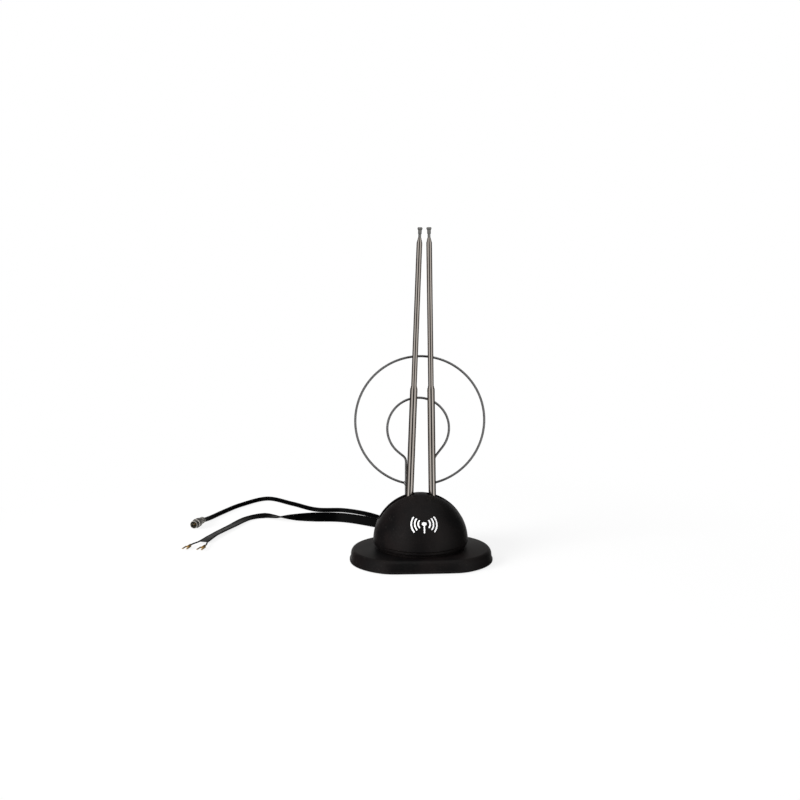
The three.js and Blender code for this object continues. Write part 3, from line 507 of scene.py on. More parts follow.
def bake(made):
    """Applies an object's modifiers."""
    graph = bpy.context.evaluated_depsgraph_get()
    finish = made.data.materials[0]
    mesh = bpy.data.meshes.new_from_object(made.evaluated_get(graph))
    made.modifiers.clear()
    made.data = mesh
    mesh.materials.clear()
    mesh.materials.append(finish)
    shade(mesh)


def cut(made, tools, operation="DIFFERENCE"):
    """Subtracts (or adds) other objects and deletes them."""
    for tool in tools:
        step = made.modifiers.new("cut", "BOOLEAN")
        step.operation = operation
        step.solver = "EXACT"
        step.object = tool
        bake(made)
    for tool in tools:
        bpy.data.objects.remove(tool)


def stand_in(made, body, node):
    """Makes a piece ride on a body, in place of a frame node."""
    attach(made, body)
    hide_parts(node)


def add_bevel(made, width_mm, angle):
    """A bevel on the edges that turn by more than an angle in degrees."""
    step = made.modifiers.new("bevel", "BEVEL")
    step.width = width_mm * MM
    step.segments = 2
    step.limit_method = "ANGLE"
    step.angle_limit = math.radians(angle)
    return step


def bend(a, knee, b, steps):
    """Points from a to b along a curve that turns at a knee, with both ends."""
    turns = [k / steps for k in range(steps + 1)]
    return [a * (1 - t) ** 2 + knee * 2 * t * (1 - t) + b * t**2 for t in turns]


def eased_corners(profile, segments=4):
    """Rounds the corners of an open profile. A point is (radius, z) or (radius, z, corner radius)."""
    out = []
    last = len(profile) - 1
    for i, point in enumerate(profile):
        here = Vector(point[:2])
        ease = point[2] if len(point) > 2 else 0
        if ease == 0 or i in (0, last):
            out.append(tuple(here))
            continue
        before = (Vector(profile[i - 1][:2]) - here).normalized()
        after = (Vector(profile[i + 1][:2]) - here).normalized()
        out += [tuple(p) for p in bend(here + before * ease, here, here + after * ease, segments)]
    return out


def loft(rings, closed=False):
    """Points and faces of a skin over equal rings; capped at both ends, or joined end to end."""
    count = len(rings[0])
    points = [p for ring in rings for p in ring]
    faces = []
    spans = len(rings) if closed else len(rings) - 1
    for r in range(spans):
        a = r * count
        b = ((r + 1) % len(rings)) * count
        for i in range(count):
            j = (i + 1) % count
            faces.append((a + i, a + j, b + j, b + i))
    if not closed:
        faces.append(tuple(reversed(range(count))))
        faces.append(tuple(range(len(points) - count, len(points))))
    return points, faces


def turned(profile, steps):
    """Points and faces of a profile turned about Z. It ends on the axis, or closes on itself."""
    on_axis = profile[0][0] == 0 and profile[-1][0] == 0
    rings = profile[1:-1] if on_axis else profile
    turns = [2 * math.pi * i / steps for i in range(steps)]
    circles = [[(r * math.cos(t), r * math.sin(t), z) for t in turns] for r, z in rings]
    points, faces = loft(circles, closed=True)
    if not on_axis:
        return points, faces
    faces = faces[: (len(circles) - 1) * steps]
    for end, ring in ((profile[0], 0), (profile[-1], len(circles) - 1)):
        hub = len(points)
        points.append((0, 0, end[1]))
        start = ring * steps
        faces.extend((hub, start + i, start + (i + 1) % steps) for i in range(steps))
    return points, faces


def moved(points, x, y, z=0.0):
    return [(p[0] + x, p[1] + y, p[2] + z) for p in points]


def peg(name, x, y, radius, z0, z1, steps=32):
    """A plain round cutter."""
    points, faces = turned([(0, z0), (radius, z0), (radius, z1), (0, z1)], steps)
    return build_object(name, moved(points, x, y), faces, "black_plastic")


def brick(name, low, high):
    """A plain square cutter."""
    ring = [(low[0], low[1]), (high[0], low[1]), (high[0], high[1]), (low[0], high[1])]
    rings = [[(x, y, z) for x, y in ring] for z in (low[2], high[2])]
    return build_object(name, *loft(rings), "black_plastic")


# -------- curves
def smooth_path(stations, per_span):
    """A centripetal curve through stations (x, y, z, ...); any further values are blended evenly."""
    places = [Vector(s[:3]) for s in stations]
    places = [places[0] * 2 - places[1], *places, places[-1] * 2 - places[-2]]
    out = []
    for i in range(len(stations) - 1):
        p0, p1, p2, p3 = places[i : i + 4]
        d0, d1, d2 = (math.sqrt((b - a).length) for a, b in ((p0, p1), (p1, p2), (p2, p3)))
        m1 = ((p1 - p0) / d0 - (p2 - p0) / (d0 + d1) + (p2 - p1) / d1) * d1
        m2 = ((p2 - p1) / d1 - (p3 - p1) / (d1 + d2) + (p3 - p2) / d2) * d1
        for k in range(per_span + (i == len(stations) - 2)):
            t = k / per_span
            place = (
                p1 * (2 * t**3 - 3 * t**2 + 1)
                + m1 * (t**3 - 2 * t**2 + t)
                + p2 * (3 * t**2 - 2 * t**3)
                + m2 * (t**3 - t**2)
            )
            rest = [a + (b - a) * t for a, b in zip(stations[i][3:], stations[i + 1][3:])]
            out.append((place, *rest))
    return out


def headings(path):
    """The direction of travel at each point of a path."""
    last = len(path) - 1
    return [(path[min(i + 1, last)] - path[max(i - 1, 0)]).normalized() for i in range(last + 1)]


def swept_round(path, radius, sides=20):
    """A round wire or cable along a path, cut off square at both ends."""
    ahead = headings(path)
    side = ahead[0].orthogonal().normalized()
    rings = []
    turns = [2 * math.pi * k / sides for k in range(sides)]
    for place, way in zip(path, ahead):
        side = (side - way * side.dot(way)).normalized()
        up = way.cross(side)
        rings.append([place + (side * math.cos(t) + up * math.sin(t)) * radius for t in turns])
    return loft(rings)


# -------- base
def eased_max(a, b, width):
    """The greater of a and b, with the corner between them eased over about that width."""
    return (a + b + math.hypot(a - b, width)) / 2


def base_outline(inset, z, steps=180):
    """The base's oval at height z, drawn in by inset, with its front cut straight."""
    a = BASE["half_width"] - inset
    b = BASE["half_depth"] - inset
    power = 2 / BASE["power"]
    ring = []
    for i in range(steps):
        turn = 2 * math.pi * i / steps
        c, s = math.cos(turn), math.sin(turn)
        x = a * math.copysign(abs(c) ** power, c)
        y = BASE["centre_y"] + b * math.copysign(abs(s) ** power, s)
        ring.append((x, eased_max(y, BASE_FRONT + inset, BASE_FRONT_EASE), z))
    return ring


def neck_profile():
    """The dome's seat: a waist that makes a shadow groove, and a register ring that fits inside the dome."""
    inner_wall = DOME_RADIUS - DOME_WALL - 0.5
    return eased_corners(
        [
            (NECK_INNER, NECK_FOOT),
            (WAIST["radius"], NECK_FOOT),
            (WAIST["radius"], WAIST["top"], 0.3),
            (NECK_RADIUS, WAIST["top"] + WAIST["slope"], 0.4),
            (NECK_RADIUS, NECK_TOP, 0.5),
            (inner_wall, NECK_TOP),
            (inner_wall, NECK_TOP + NECK_REGISTER, 0.4),
            (NECK_INNER, NECK_TOP + NECK_REGISTER, 0.4),
        ]
    )


def build_base():
    shoulder = 5.0  # how far the top is drawn in by the rounded edge
    spring = {"inset": 0.5, "z": 8.0}  # where the rounded edge starts
    wall = [
        (-BASE_LIP + 0.5, BASE_FLOOR),
        (-BASE_LIP + 0.1, BASE_FLOOR + 0.2),
        (-BASE_LIP, BASE_FLOOR + 0.6),
        (-BASE_LIP, 2.5),
        (-BASE_LIP + 0.15, 2.75),
        (-0.15, 3.1),
        (0, 3.5),
        (0.25, 5.8),
        (spring["inset"], spring["z"]),
    ]
    arc_steps = 9
    for i in range(1, arc_steps + 1):
        t = math.pi / 2 * i / arc_steps
        inset = shoulder - (shoulder - spring["inset"]) * math.cos(t)
        wall.append((inset, spring["z"] + (BASE_TOP - spring["z"]) * math.sin(t)))
    base = build_object("base_body", *loft([base_outline(*level) for level in wall]), "black_plastic")
    ceiling = BASE_TOP - BASE_WALL
    hollow = [(BASE_WALL, -1), (BASE_WALL + 0.4, 7), (BASE_WALL + 2.6, ceiling)]
    cavity = build_object("cavity", *loft([base_outline(*level) for level in hollow]), "black_plastic")
    neck = build_object("neck", *turned(neck_profile(), 180), "black_plastic")
    low = (NOTCH["left"], NOTCH["front"], NECK_TOP)
    high = (NOTCH["right"], NOTCH["back"], NOTCH["top"])
    cut(base, [cavity])
    cut(base, [neck], "UNION")
    cut(base, [brick("notch", low, high)])
    for x, y in COVER_SCREWS:
        cut(base, [peg("boss", x, y, COVER_BOSS["radius"], COVER_BOSS["foot"], ceiling + 1)], "UNION")
        cut(base, [peg("hole", x, y, SCREW_HOLE, 0, ceiling - 0.5, steps=20)])
    stand_in(base, "base", "base_shell")


# -------- dome
def slot_cutter(sign):
    """The space one rod sweeps, from its furthest lean in to its furthest lean out, with round ends.

    Each ring goes out along the slot's front edge, round its outer end, back along its back edge and
    round its inner end.
    """
    pivot = Vector(JOINTS["right_rod_swing"]["pos_m"]) / MM
    inner, outer = math.radians(-LEAN_IN), math.radians(LEAN_OUT)
    leans = [inner + (outer - inner) * i / 24 for i in range(25)]
    half_turn = [math.pi * i / 12 for i in range(1, 12)]

    def place(reach, lean, beyond, y):
        along = Vector((math.sin(lean), 0, math.cos(lean)))
        across = Vector((math.cos(lean), 0, -math.sin(lean)))
        point = pivot + along * reach + across * beyond
        return (sign * point.x, y, point.z)

    rings = []
    for reach in SLOT_REACH:
        ring = [place(reach, lean, 0, -SLOT_HALF) for lean in leans]
        ring += [place(reach, outer, SLOT_HALF * math.sin(t), -SLOT_HALF * math.cos(t)) for t in half_turn]
        ring += [place(reach, lean, 0, SLOT_HALF) for lean in reversed(leans)]
        ring += [place(reach, inner, -SLOT_HALF * math.sin(t), SLOT_HALF * math.cos(t)) for t in half_turn]
        rings.append(ring)
    return build_object("slot", *loft(rings), "black_plastic")


def dome_arc(radius, steps, upwards):
    """A quarter circle of the dome's section, without its two ends."""
    turns = [math.pi / 2 * i / steps for i in range(1, steps)]
    arc = [(radius * math.cos(t), DOME_FLOOR + radius * math.sin(t)) for t in turns]
    return arc if upwards else arc[::-1]


def build_dome():
    inner = DOME_RADIUS - DOME_WALL
    steps = 56
    rim = [
        (inner, DOME_FLOOR),
        (DOME_RADIUS - 0.8, DOME_FLOOR),
        (DOME_RADIUS - 0.25, DOME_FLOOR + 0.15),
        (DOME_RADIUS, DOME_FLOOR + 0.7),
    ]
    inside = [(0, DOME_FLOOR + inner), *dome_arc(inner, steps, False)]
    outside = [*dome_arc(DOME_RADIUS, steps, True), (0, DOME_FLOOR + DOME_RADIUS)]
    dome = build_object("dome_body", *turned(inside + rim + outside, 200), "black_plastic")
    cut(dome, [slot_cutter(sign) for sign in SIDES.values()])
    cut(dome, [peg("leg_hole", sign * LEG_X, LOOP_Y, *LEG_HOLE) for sign in SIDES.values()])
    low = (NOTCH["left"] - NOTCH_PLAY, NOTCH["front"], DOME_FLOOR - 5)
    high = (NOTCH["right"] + NOTCH_PLAY, NOTCH["back"], NOTCH["top"] + NOTCH_PLAY)
    cut(dome, [brick("notch", low, high)])
    for x, y in DOME_SCREWS:
        height = DOME_FLOOR + math.sqrt(inner**2 - x * x - y * y)
        cut(dome, [peg("boss", x, y, DOME_BOSS["radius"], DOME_BOSS["foot"], height + 1)], "UNION")
        cut(dome, [peg("bore", x, y, SCREW_HOLE, 0, 30, steps=20)])
    add_bevel(dome, 0.35, 45).miter_outer = "MITER_ARC"
    bake(dome)
    stand_in(dome, "base", "dome_shell")


# -------- printed mark
def mark_point(u, v, lift):
    """A point of the mark: u to the right and v upwards along the dome from the mark's centre."""
    tilt = math.radians(MARK["elevation"])
    ahead = Vector((0, -math.cos(tilt), math.sin(tilt)))
    up = Vector((0, math.sin(tilt), math.cos(tilt)))
    flat = Vector((1, 0, 0)) * u + up * v
    angle = flat.length / DOME_RADIUS
    way = ahead * math.cos(angle) + flat.normalized() * math.sin(angle)
    return way * (DOME_RADIUS + lift) + Vector((0, 0, DOME_FLOOR))


def stroke(path, width):
    """A round-ended stroke along a path of (u, v) points, as a row of pairs: its left and right edges."""
    half = width / 2
    edges = [(here, Vector((-way.y, way.x)) * half, way * half) for here, way in zip(path, headings(path))]
    cap = [(math.sin(math.radians(t)), math.cos(math.radians(t))) for t in (30, 60, 90)]
    here, across, way = edges[0]
    out = [(here - way * s + across * c, here - way * s - across * c) for s, c in reversed(cap)]
    out += [(here + across, here - across) for here, across, _ in edges]
    here, across, way = edges[-1]
    out += [(here + way * s + across * c, here + way * s - across * c) for s, c in cap]
    return out


def mark_line(a, b, steps=6):
    """A straight path of (u, v) points, with both ends."""
    return [Vector(a).lerp(Vector(b), i / steps) for i in range(steps + 1)]


def mark_strokes():
    """The waves either side, the mast below and the dot between them."""
    half_angle = math.radians(MARK_WAVES["half_angle"])
    steps = MARK_WAVES["steps"]
    strokes = []
    for radius in MARK_WAVES["radii"]:
        for middle in (0, math.pi):
            turns = [middle - half_angle + 2 * half_angle * i / steps for i in range(steps + 1)]
            wave = [Vector((radius * math.cos(t), radius * math.sin(t))) for t in turns]
            strokes.append(stroke(wave, MARK["stroke"]))
    mast = mark_line((0, MARK_MAST["top"]), (0, MARK_MAST["foot"]))
    strokes.append(stroke(mast, MARK["stroke"]))
    dot = mark_line((-MARK_DOT["half_length"], 0), (MARK_DOT["half_length"], 0))
    strokes.append(stroke(dot, MARK_DOT["stroke"]))
    return strokes


def build_mark():
    """A generic broadcast sign, printed on the dome: a mast with a dot and waves either side.

    Each row of a stroke gives four points: its two edges on top, then the same two sunk into the dome.
    """
    points, faces = [], []
    for rows in mark_strokes():
        first = len(points)
        for row in rows:
            for lift in (MARK["lift"], -MARK["sink"]):
                points += [mark_point(edge.x, edge.y, lift) for edge in row]
        for i in range(len(rows) - 1):
            a = first + 4 * i
            b = a + 4
            faces.append((a, a + 1, b + 1, b))
            faces.append((a + 2, b + 2, b + 3, a + 3))
            faces.append((a, b, b + 2, a + 2))
            faces.append((a + 1, a + 3, b + 3, b + 1))
        end = first + 4 * (len(rows) - 1)
        faces.append((first, first + 2, first + 3, first + 1))
        faces.append((end, end + 1, end + 3, end + 2))
    mark = build_object("printed_mark", points, faces, "printed_ink", 60)
    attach(mark, "base")


# -------- rods
def rod_frame(side):
    """The matrix from a rod's own frame, with Z up the rod from its pivot, to the antenna's."""
    axis = Vector(JOINTS[f"{side}_tube_2_slide"]["axis"])
    pivot = Vector(JOINTS[f"{side}_rod_swing"]["pos_m"])
    return Matrix.Translation(pivot) @ Matrix.Rotation(math.atan2(axis.x, axis.z), 4, "Y")


def rod_span(node, to_rod):
    """How far up its rod a node starts and ends, in millimetres."""
    heights = [(to_rod @ v.co).z / MM for v in NODES[node].data.vertices]
    return min(heights), max(heights)


def place_on_rod(made, side, body, node):
    made.matrix_world = rod_frame(side)
    stand_in(made, body, node)


def build_tube(number, side, body):
    """One tube, drawn in at its mouth to close on the next; all but the first have a collar at the foot."""
    node = f"rod_tube_{number}_{side}"
    foot, mouth = rod_span(node, rod_frame(side).inverted())
    outer = TUBE_DIAMETERS[number - 1] / 2
    bore = outer - TUBE_WALL
    narrow = outer - TUBE_STEP + TUBE_PLAY
    collar = outer + COLLAR_RISE
    foot_profile = [(bore, foot), (outer, foot)]
    if number > 1:
        foot_profile = [
            (bore, foot),
            (collar, foot, 0.3),
            (collar, foot + COLLAR - 0.4, 0.3),
            (outer, foot + COLLAR),
        ]
    profile = eased_corners(
        [
            *foot_profile,
            (outer, mouth - MOUTH, 0.7),
            (narrow + TUBE_WALL, mouth - 0.5, 0.3),
            (narrow + TUBE_WALL - 0.02, mouth, 0.12),
            (narrow, mouth, 0.12),
            (narrow, mouth - MOUTH + 0.6, 0.3),
            (bore, mouth - MOUTH),
        ]
    )
    tube = build_object(node + "_skin", *turned(profile, 56), "rod_nickel", 50)
    place_on_rod(tube, side, body, node)


def build_tip(side, body):
    """The last, solid rod, with a pin at its top that holds the turned button."""
    to_rod = rod_frame(side).inverted()
    foot, top = rod_span(f"tip_rod_{side}", to_rod)
    cap_foot, cap_top = rod_span(f"tip_cap_{side}", to_rod)
    radius = TIP["diameter"] / 2
    pin = TIP["pin"]
    collar = radius + COLLAR_RISE
    shoulder = cap_foot - 0.2
    stem = [
        (0, foot),
        (collar, foot, 0.2),
        (collar, foot + COLLAR - 0.4, 0.2),
        (radius, foot + COLLAR),
        (radius, shoulder, 0.15),
        (pin, shoulder),
        (pin, top, 0.1),
        (0, top),
    ]
    points, faces = turned(eased_corners(stem), 48)
    rod = build_object(f"tip_rod_{side}_skin", points, faces, "rod_nickel", 50, "tip_metal")
    place_on_rod(rod, side, body, f"tip_rod_{side}")
    wide = CAP["diameter"] / 2
    neck = CAP["stem"] / 2
    bore = pin + TIP["play"]
    ceiling = top + TIP["play"]
    button = cap_foot + CAP["stem_length"]
    cap = [
        (0, ceiling),
        (bore, ceiling),
        (bore, cap_foot, 0.1),
        (neck, cap_foot, 0.2),
        (neck, button - 0.3, 0.15),
        (wide - 0.25, button, 0.12),
        (wide, button + 0.4, 0.2),
        (wide, cap_top - 0.55, 0.3),
        (wide - 0.5, cap_top - 0.1, 0.25),
        (0, cap_top),
    ]
    points, faces = turned(eased_corners(cap), 48)
    skin = build_object(f"tip_cap_{side}_skin", points, faces, "rod_nickel", 50, "tip_metal")
    place_on_rod(skin, side, body, f"tip_cap_{side}")


def build_rods():
    for side in SIDES:
        build_tube(1, side, f"{side}_rod")
        for number in range(2, len(TUBE_DIAMETERS) + 1):
            build_tube(number, side, f"{side}_tube_{number}")
        build_tip(side, f"{side}_tip")


# -------- loops
def loop_arc(loop, start, sweep, steps):
    """Points round a loop's circle, in the plane of the loops."""
    turns = [start + sweep * i / steps for i in range(steps + 1)]
    return [
        Vector((loop["x"] + loop["radius"] * math.cos(t), LOOP_Y, loop["z"] + loop["radius"] * math.sin(t)))
        for t in turns
    ]


def straight(a, b, steps):
    """Points from a to b, without b itself."""
    return [a.lerp(b, i / steps) for i in range(steps)]


def leg(sign):
    """One leg from its foot up to the inner loop's circle, and the angle at which it meets the circle."""
    centre = Vector((INNER_LOOP["x"], LOOP_Y, INNER_LOOP["z"]))
    knee = Vector((sign * LEG_X, LOOP_Y, LEG_TOP))
    away = knee - centre
    turn = math.atan2(away.z, away.x) + sign * math.acos(INNER_LOOP["radius"] / away.length)
    touch = centre + Vector((math.cos(turn), 0, math.sin(turn))) * INNER_LOOP["radius"]
    foot = Vector((sign * LEG_X, LOOP_Y, LEG_FOOT))
    below = knee - Vector((0, 0, LEG_BEND))
    above = knee + (touch - knee).normalized() * LEG_BEND
    path = straight(foot, below, 24) + bend(below, knee, above, 8)[:-1] + straight(above, touch, 6)
    return path, turn


def build_wire(name, path, node):
    wire = build_object(name, *swept_round(path, WIRE_RADIUS), "loop_wire", 60)
    stand_in(wire, "base", node)


def build_loops():
    """The inner loop is one wire with the two legs; the outer loop is open where it passes between them."""
    left, left_turn = leg(-1)
    right, right_turn = leg(1)
    sweep = -((left_turn - right_turn) % (2 * math.pi))
    arc = loop_arc(INNER_LOOP, left_turn, sweep, 120)
    build_wire("inner_loop_wire", left + arc + right[::-1], "loop_inner_ring")
    reach = LEG_X + WIRE_RADIUS
    opening = math.asin(reach / OUTER_LOOP["radius"])
    arc = loop_arc(OUTER_LOOP, -math.pi / 2 - opening, -(2 * math.pi - 2 * opening), 220)
    build_wire("outer_loop_wire", arc, "loop_outer_ring")
    weld_z = OUTER_LOOP["z"] - math.sqrt(OUTER_LOOP["radius"] ** 2 - reach**2)
    for side, sign in SIDES.items():
        build_solder(side, sign, weld_z)


def build_solder(side, sign, height):
    """A lumpy fillet of solder where the outer loop meets a leg."""
    radius = WIRE_RADIUS + SOLDER["thickness"]
    half_height = SOLDER["half_height"]
    steps = 14
    profile = [(0, -half_height)]
    for i in range(1, steps):
        t = math.pi * i / steps
        profile.append((radius * math.sin(t) ** SOLDER["roundness"], -half_height * math.cos(t)))
    profile.append((0, half_height))
    points, faces = turned(profile, 32)
    elsewhere = Vector((7 * sign, 0, 0))  # so that the two fillets have different lumps
    lumpy = []
    for p in points:
        push = 1 + SOLDER_LUMPS["size"] * noise.noise(Vector(p) * SOLDER_LUMPS["density"] + elsewhere)
        lap = SOLDER_LAP["reach"] * math.exp(-((p[2] / SOLDER_LAP["height"]) ** 2)) * max(0.0, sign * p[0])
        lumpy.append((p[0] * push + sign * lap, p[1] * push, p[2]))
    lumpy = moved(lumpy, sign * (LEG_X + SOLDER["shift"]), LOOP_Y, height)
    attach(build_object(f"solder_{side}", lumpy, faces, "solder", 80), "base")


# -------- cables
def coax_path():
    return [point[0] for point in smooth_path(COAX_STATIONS, 16)]


def build_coax():
    coax = build_object("coax_jacket", *swept_round(coax_path(), COAX_RADIUS, 28), "cable_jacket", 60)
    stand_in(coax, "base", "coax_cable")


def lead_section():
    """The flat lead's section: two round edges, each swept until it meets the thin web between them."""
    points = []
    sweep = math.pi - math.asin(LEAD_WEB_HALF / LEAD_EDGE)
    steps = 10
    for sign in (1, -1):
        outward = 0 if sign > 0 else math.pi
        for i in range(steps + 1):
            t = outward + sweep * (2 * i / steps - 1)
            across = sign * (LEAD_HALF_WIDTH - LEAD_EDGE) + LEAD_EDGE * math.cos(t)
            points.append((across, LEAD_EDGE * math.sin(t)))
        for share in (0.62, 0.3, -0.3, -0.62):
            points.append((sign * share * (LEAD_HALF_WIDTH - 2), sign * LEAD_WEB_HALF))
    return points


def lead_frames():
    """At each point of the lead: its place, heading, sideways direction and thickness direction."""
    path = smooth_path(LEAD_STATIONS, 16)
    frames = []
    for (place, roll), way in zip(path, headings([point[0] for point in path])):
        level = Vector((0, 0, 1)).cross(way).normalized()
        up = way.cross(level)
        turn = math.radians(roll)
        side = level * math.cos(turn) + up * math.sin(turn)
        thick = up * math.cos(turn) - level * math.sin(turn)
        frames.append((place, way, side, thick))
    return frames


def lead_tail(end, sign):
    """One wire of the lead, on its own past the end of the web."""
    place, way, side, _ = end
    stations = [
        place + way * distance + side * sign * (LEAD_HALF_WIDTH - LEAD_EDGE + spread)
        for distance, spread in TAIL_STATIONS
    ]
    line = [point[0] for point in smooth_path(stations, 10)]
    return build_object("tail", *swept_round(line, LEAD_EDGE - 0.05), "cable_jacket", 60)


def build_lead():
    frames = lead_frames()
    section = lead_section()
    rings = [[place + side * x + thick * y for x, y in section] for place, _, side, thick in frames]
    lead = build_object("flat_lead", *loft(rings), "cable_jacket", 60)
    cut(lead, [lead_tail(frames[-1], sign) for sign in SIDES.values()], "UNION")
    stand_in(lead, "base", "twin_lead")


def build_plug():
    """A push-on television plug with a knurled grip."""
    tail, grip, sleeve = PLUG["tail"], PLUG["grip"] - 0.1, PLUG["sleeve"]
    cable_bore = COAX_RADIUS + 0.7
    profile = eased_corners(
        [
            (cable_bore, -5),
            (tail - 0.2, -5, 0.3),
            (tail, -4, 0.2),
            (tail, -1.2, 0.2),
            (tail - 0.35, -0.8, 0.15),
            (tail - 0.35, 0.0, 0.15),
            (tail, 0.4, 0.2),
            (tail, 4, 0.4),
            (grip - 0.5, 5, 0.3),
            (grip, 5.6, 0.3),
            (grip, 12.8, 0.3),
            (sleeve, 13.5),
            (sleeve, PLUG["length"], 0.25),
            (PLUG["socket"], PLUG["length"], 0.15),
            (PLUG["socket"], 9),
            (PLUG["pin_bore"], 9),
            (PLUG["pin_bore"], 0.8),
            (cable_bore, 0.8),
        ]
    )
    points, faces = turned(profile, 120)
    knurled = []
    for i, (x, y, z) in enumerate(points):
        push = 1
        if abs(math.hypot(x, y) - grip) < 0.1 and KNURL["foot"] < z < KNURL["top"]:
            raised = i % KNURL["period"] < KNURL["period"] / 2
            push += KNURL["depth"] * (1 if raised else -1)
        knurled.append((x * push, y * push, z))
    plug = build_object("coax_plug_shell", knurled, faces, "plug_nickel", 30)
    path = coax_path()
    way = (path[-1] - path[-2]).normalized()
    turn = Matrix.Rotation(math.atan2(way.y, way.x), 4, "Z") @ Matrix.Rotation(math.pi / 2, 4, "Y")
    plug.matrix_world = Matrix.Translation(path[-1] * MM) @ turn
    stand_in(plug, "base", "coax_plug_body")


# -------- feet
def build_feet():
    """Round rubber pads, slightly hollow underneath."""
    for number in (1, 2, 3, 4):
        low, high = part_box(f"rubber_foot_{number}")
        centre = (low + high) / 2 / MM
        top = high.z / MM
        profile = [
            (0, 0.12),
            (FOOT_RADIUS - 2.4, 0.12),
            (FOOT_RADIUS - 1.9, 0, 0.2),
            (FOOT_RADIUS - 0.4, 0, 0.3),
            (FOOT_RADIUS, 0.5, 0.2),
            (FOOT_RADIUS, top),
            (0, top),
        ]
        points, faces = turned(eased_corners(profile), 48)
        foot = build_object(f"foot_pad_{number}", moved(points, centre.x, centre.y), faces, "rubber")
        stand_in(foot, "base", f"rubber_foot_{number}")


# -------- pieces that keep their frame mesh
def dress_frame_nodes():
    """Gives every frame node its finish; those that are seen also get softened edges."""
    for name, node in NODES.items():
        node.data.materials.clear()
        node.data.materials.append(MATERIALS[NODE_SLOTS[name]])
        shade(node.data)
        if not node.hide_render:
            add_bevel(node, SOFTENING["width"], SOFTENING["angle"])


# -------- studio
def build_floor():
    """A matt pale floor that turns to plain white a little way out, so that it has no horizon."""
    mesh = bpy.data.meshes.new("floor")
    corners = [(x * FLOOR_HALF, y * FLOOR_HALF, 0) for x, y in ((-1, -1), (1, -1), (1, 1), (-1, 1))]
    mesh.from_pydata(corners, [], [(0, 1, 2, 3)])
    floor = put_in_scene("floor", mesh)
    pale = bpy.data.materials.new("pale_floor")
    tree = Tree(pale)
    matt = tree.add("ShaderNodeBsdfDiffuse", {"Color": rgb(0.93, 0.93, 0.93)})
    white = tree.add("ShaderNodeEmission", {"Color": rgb(1, 1, 1), "Strength": 1.0})
    clear = tree.add("ShaderNodeBsdfTransparent")
    out = tree.vector("LENGTH", tree.object_coordinates())
    share = tree.ramp(out, FLOOR_FADE["start"], FLOOR_FADE["end"], FLOOR_FADE["least"], 1, smooth=True)
    seen = tree.mix_shaders(share, matt, white)
    rays = tree.add("ShaderNodeLightPath")
    tree.show("ShaderNodeOutputMaterial", tree.mix_shaders(rays.outputs["Is Glossy Ray"], seen, clear))
    mesh.materials.append(pale)


def view_axes(tree):
    """The level directions away from the camera and to its right, so that the studio turns with it."""
    view = tree.add(
        "ShaderNodeVectorTransform", vector_type="VECTOR", convert_from="CAMERA", convert_to="WORLD"
    )
    tree.put(view.inputs[0], (0, 0, 1))
    ahead = tree.vector("NORMALIZE", tree.vector("MULTIPLY", view.outputs[0], (1, 1, 0)))
    return ahead, tree.vector("CROSS_PRODUCT", ahead, (0, 0, 1))


def softbox_glow(tree, away, across, height):
    """A tall softbox to each side of the camera, and a wide one above it."""
    aside = tree.math("ABSOLUTE", tree.math("ARCTAN2", across, tree.times(away, -1)))
    near = tree.ramp(aside, *map(math.radians, SOFTBOXES["near"]), smooth=True)
    far = tree.ramp(aside, *map(math.radians, SOFTBOXES["far"]), 1, 0, smooth=True)
    foot = tree.ramp(height, *SOFTBOXES["foot"], smooth=True)
    strength = tree.ramp(across, -0.2, 0.2, SOFTBOXES["left"], SOFTBOXES["right"])
    sides = tree.times(tree.times(tree.times(near, far), foot), strength)
    above = tree.ramp(height, *TOP_BOX["height"], 0, TOP_BOX["strength"], smooth=True)
    return tree.math("MAXIMUM", sides, above)


def backdrop_glow(tree, away, height):
    """A faint glow straight behind the antenna, which stands for a pale backdrop."""
    behind = tree.ramp(away, *BACKDROP["away"], 0, BACKDROP["strength"], smooth=True)
    behind = tree.times(behind, tree.ramp(height, *BACKDROP["foot"], smooth=True))
    return tree.times(behind, tree.ramp(height, *BACKDROP["fade"], 1, BACKDROP["faded"], smooth=True))


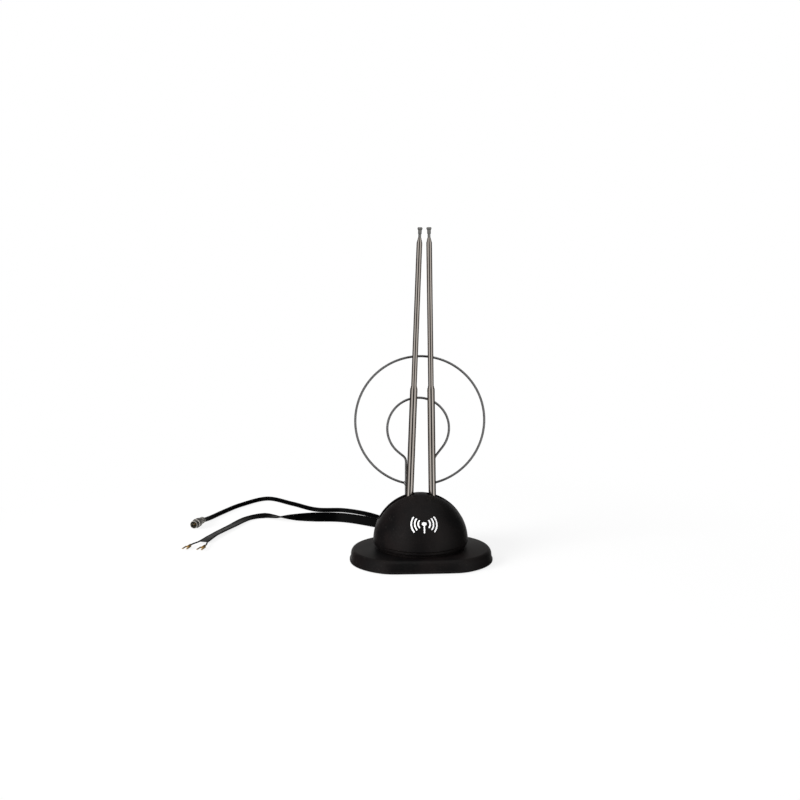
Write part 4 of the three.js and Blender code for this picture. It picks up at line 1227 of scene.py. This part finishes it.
def build_world():
    """White to the eye; reflections see a dark studio with its softboxes and backdrop."""
    world = bpy.data.worlds.new("studio")
    bpy.context.scene.world = world
    tree = Tree(world)
    way = tree.add("ShaderNodeTexCoord").outputs["Generated"]
    away, across = [tree.vector("DOT_PRODUCT", way, axis) for axis in view_axes(tree)]
    height = tree.vector("DOT_PRODUCT", way, (0, 0, 1))
    glow = tree.plus(softbox_glow(tree, away, across, height), backdrop_glow(tree, away, height))
    glow = tree.plus(glow, ROOM_GLOW)
    glossy = tree.add("ShaderNodeBackground", {"Color": rgb(*ROOM_TINT), "Strength": glow})
    side = tree.vector("DOT_PRODUCT", way, (1, 0, 0))
    fill = tree.ramp(side, -FILL["reach"], FILL["reach"], FILL["left"], FILL["right"])
    rays = tree.add("ShaderNodeLightPath")
    plain = tree.add("ShaderNodeBackground", {"Color": rgb(1, 1, 1)})
    tree.put(plain.inputs["Strength"], tree.math("MAXIMUM", rays.outputs["Is Camera Ray"], fill))
    tree.show("ShaderNodeOutputWorld", tree.mix_shaders(rays.outputs["Is Glossy Ray"], plain, glossy))


def build_lights():
    """Square area lights, left out of reflections."""
    for name, spec in LIGHTS.items():
        data = bpy.data.lights.new(name, "AREA")
        data.shape = "SQUARE"
        data.size = spec["side"]
        data.energy = spec["power"]
        light = put_in_scene(name, data)
        light.location = spec["place"]
        light.rotation_euler = (-Vector(spec["place"])).to_track_quat("-Z", "Y").to_euler()
        light.visible_glossy = False


def build_camera():
    """The camera looks a little down, from a little to the left."""
    yaw = math.radians(CAMERA["yaw"])
    pitch = math.radians(CAMERA["pitch"])
    data = bpy.data.cameras.new("camera")
    data.sensor_width = SENSOR_WIDTH
    data.lens = SENSOR_WIDTH * CAMERA["focal"] / IMAGE_WIDTH
    data.clip_end = 100
    camera = put_in_scene("camera", data)
    turn = Matrix.Rotation(-yaw, 4, "Z")
    camera.location = turn @ Vector((-CAMERA["aside"], -CAMERA["distance"], CAMERA["height"])) * MM
    view = turn @ Vector((0, math.cos(pitch), -math.sin(pitch)))
    camera.rotation_euler = view.to_track_quat("-Z", "Y").to_euler()
    bpy.context.scene.camera = camera


def build_studio():
    build_floor()
    build_world()
    build_lights()
    build_camera()
    bpy.context.scene.view_settings.view_transform = "Standard"


# -------- assembly
build_base()
build_dome()
build_mark()
build_rods()
build_loops()
build_coax()
build_lead()
build_plug()
build_feet()
dress_frame_nodes()
build_studio()
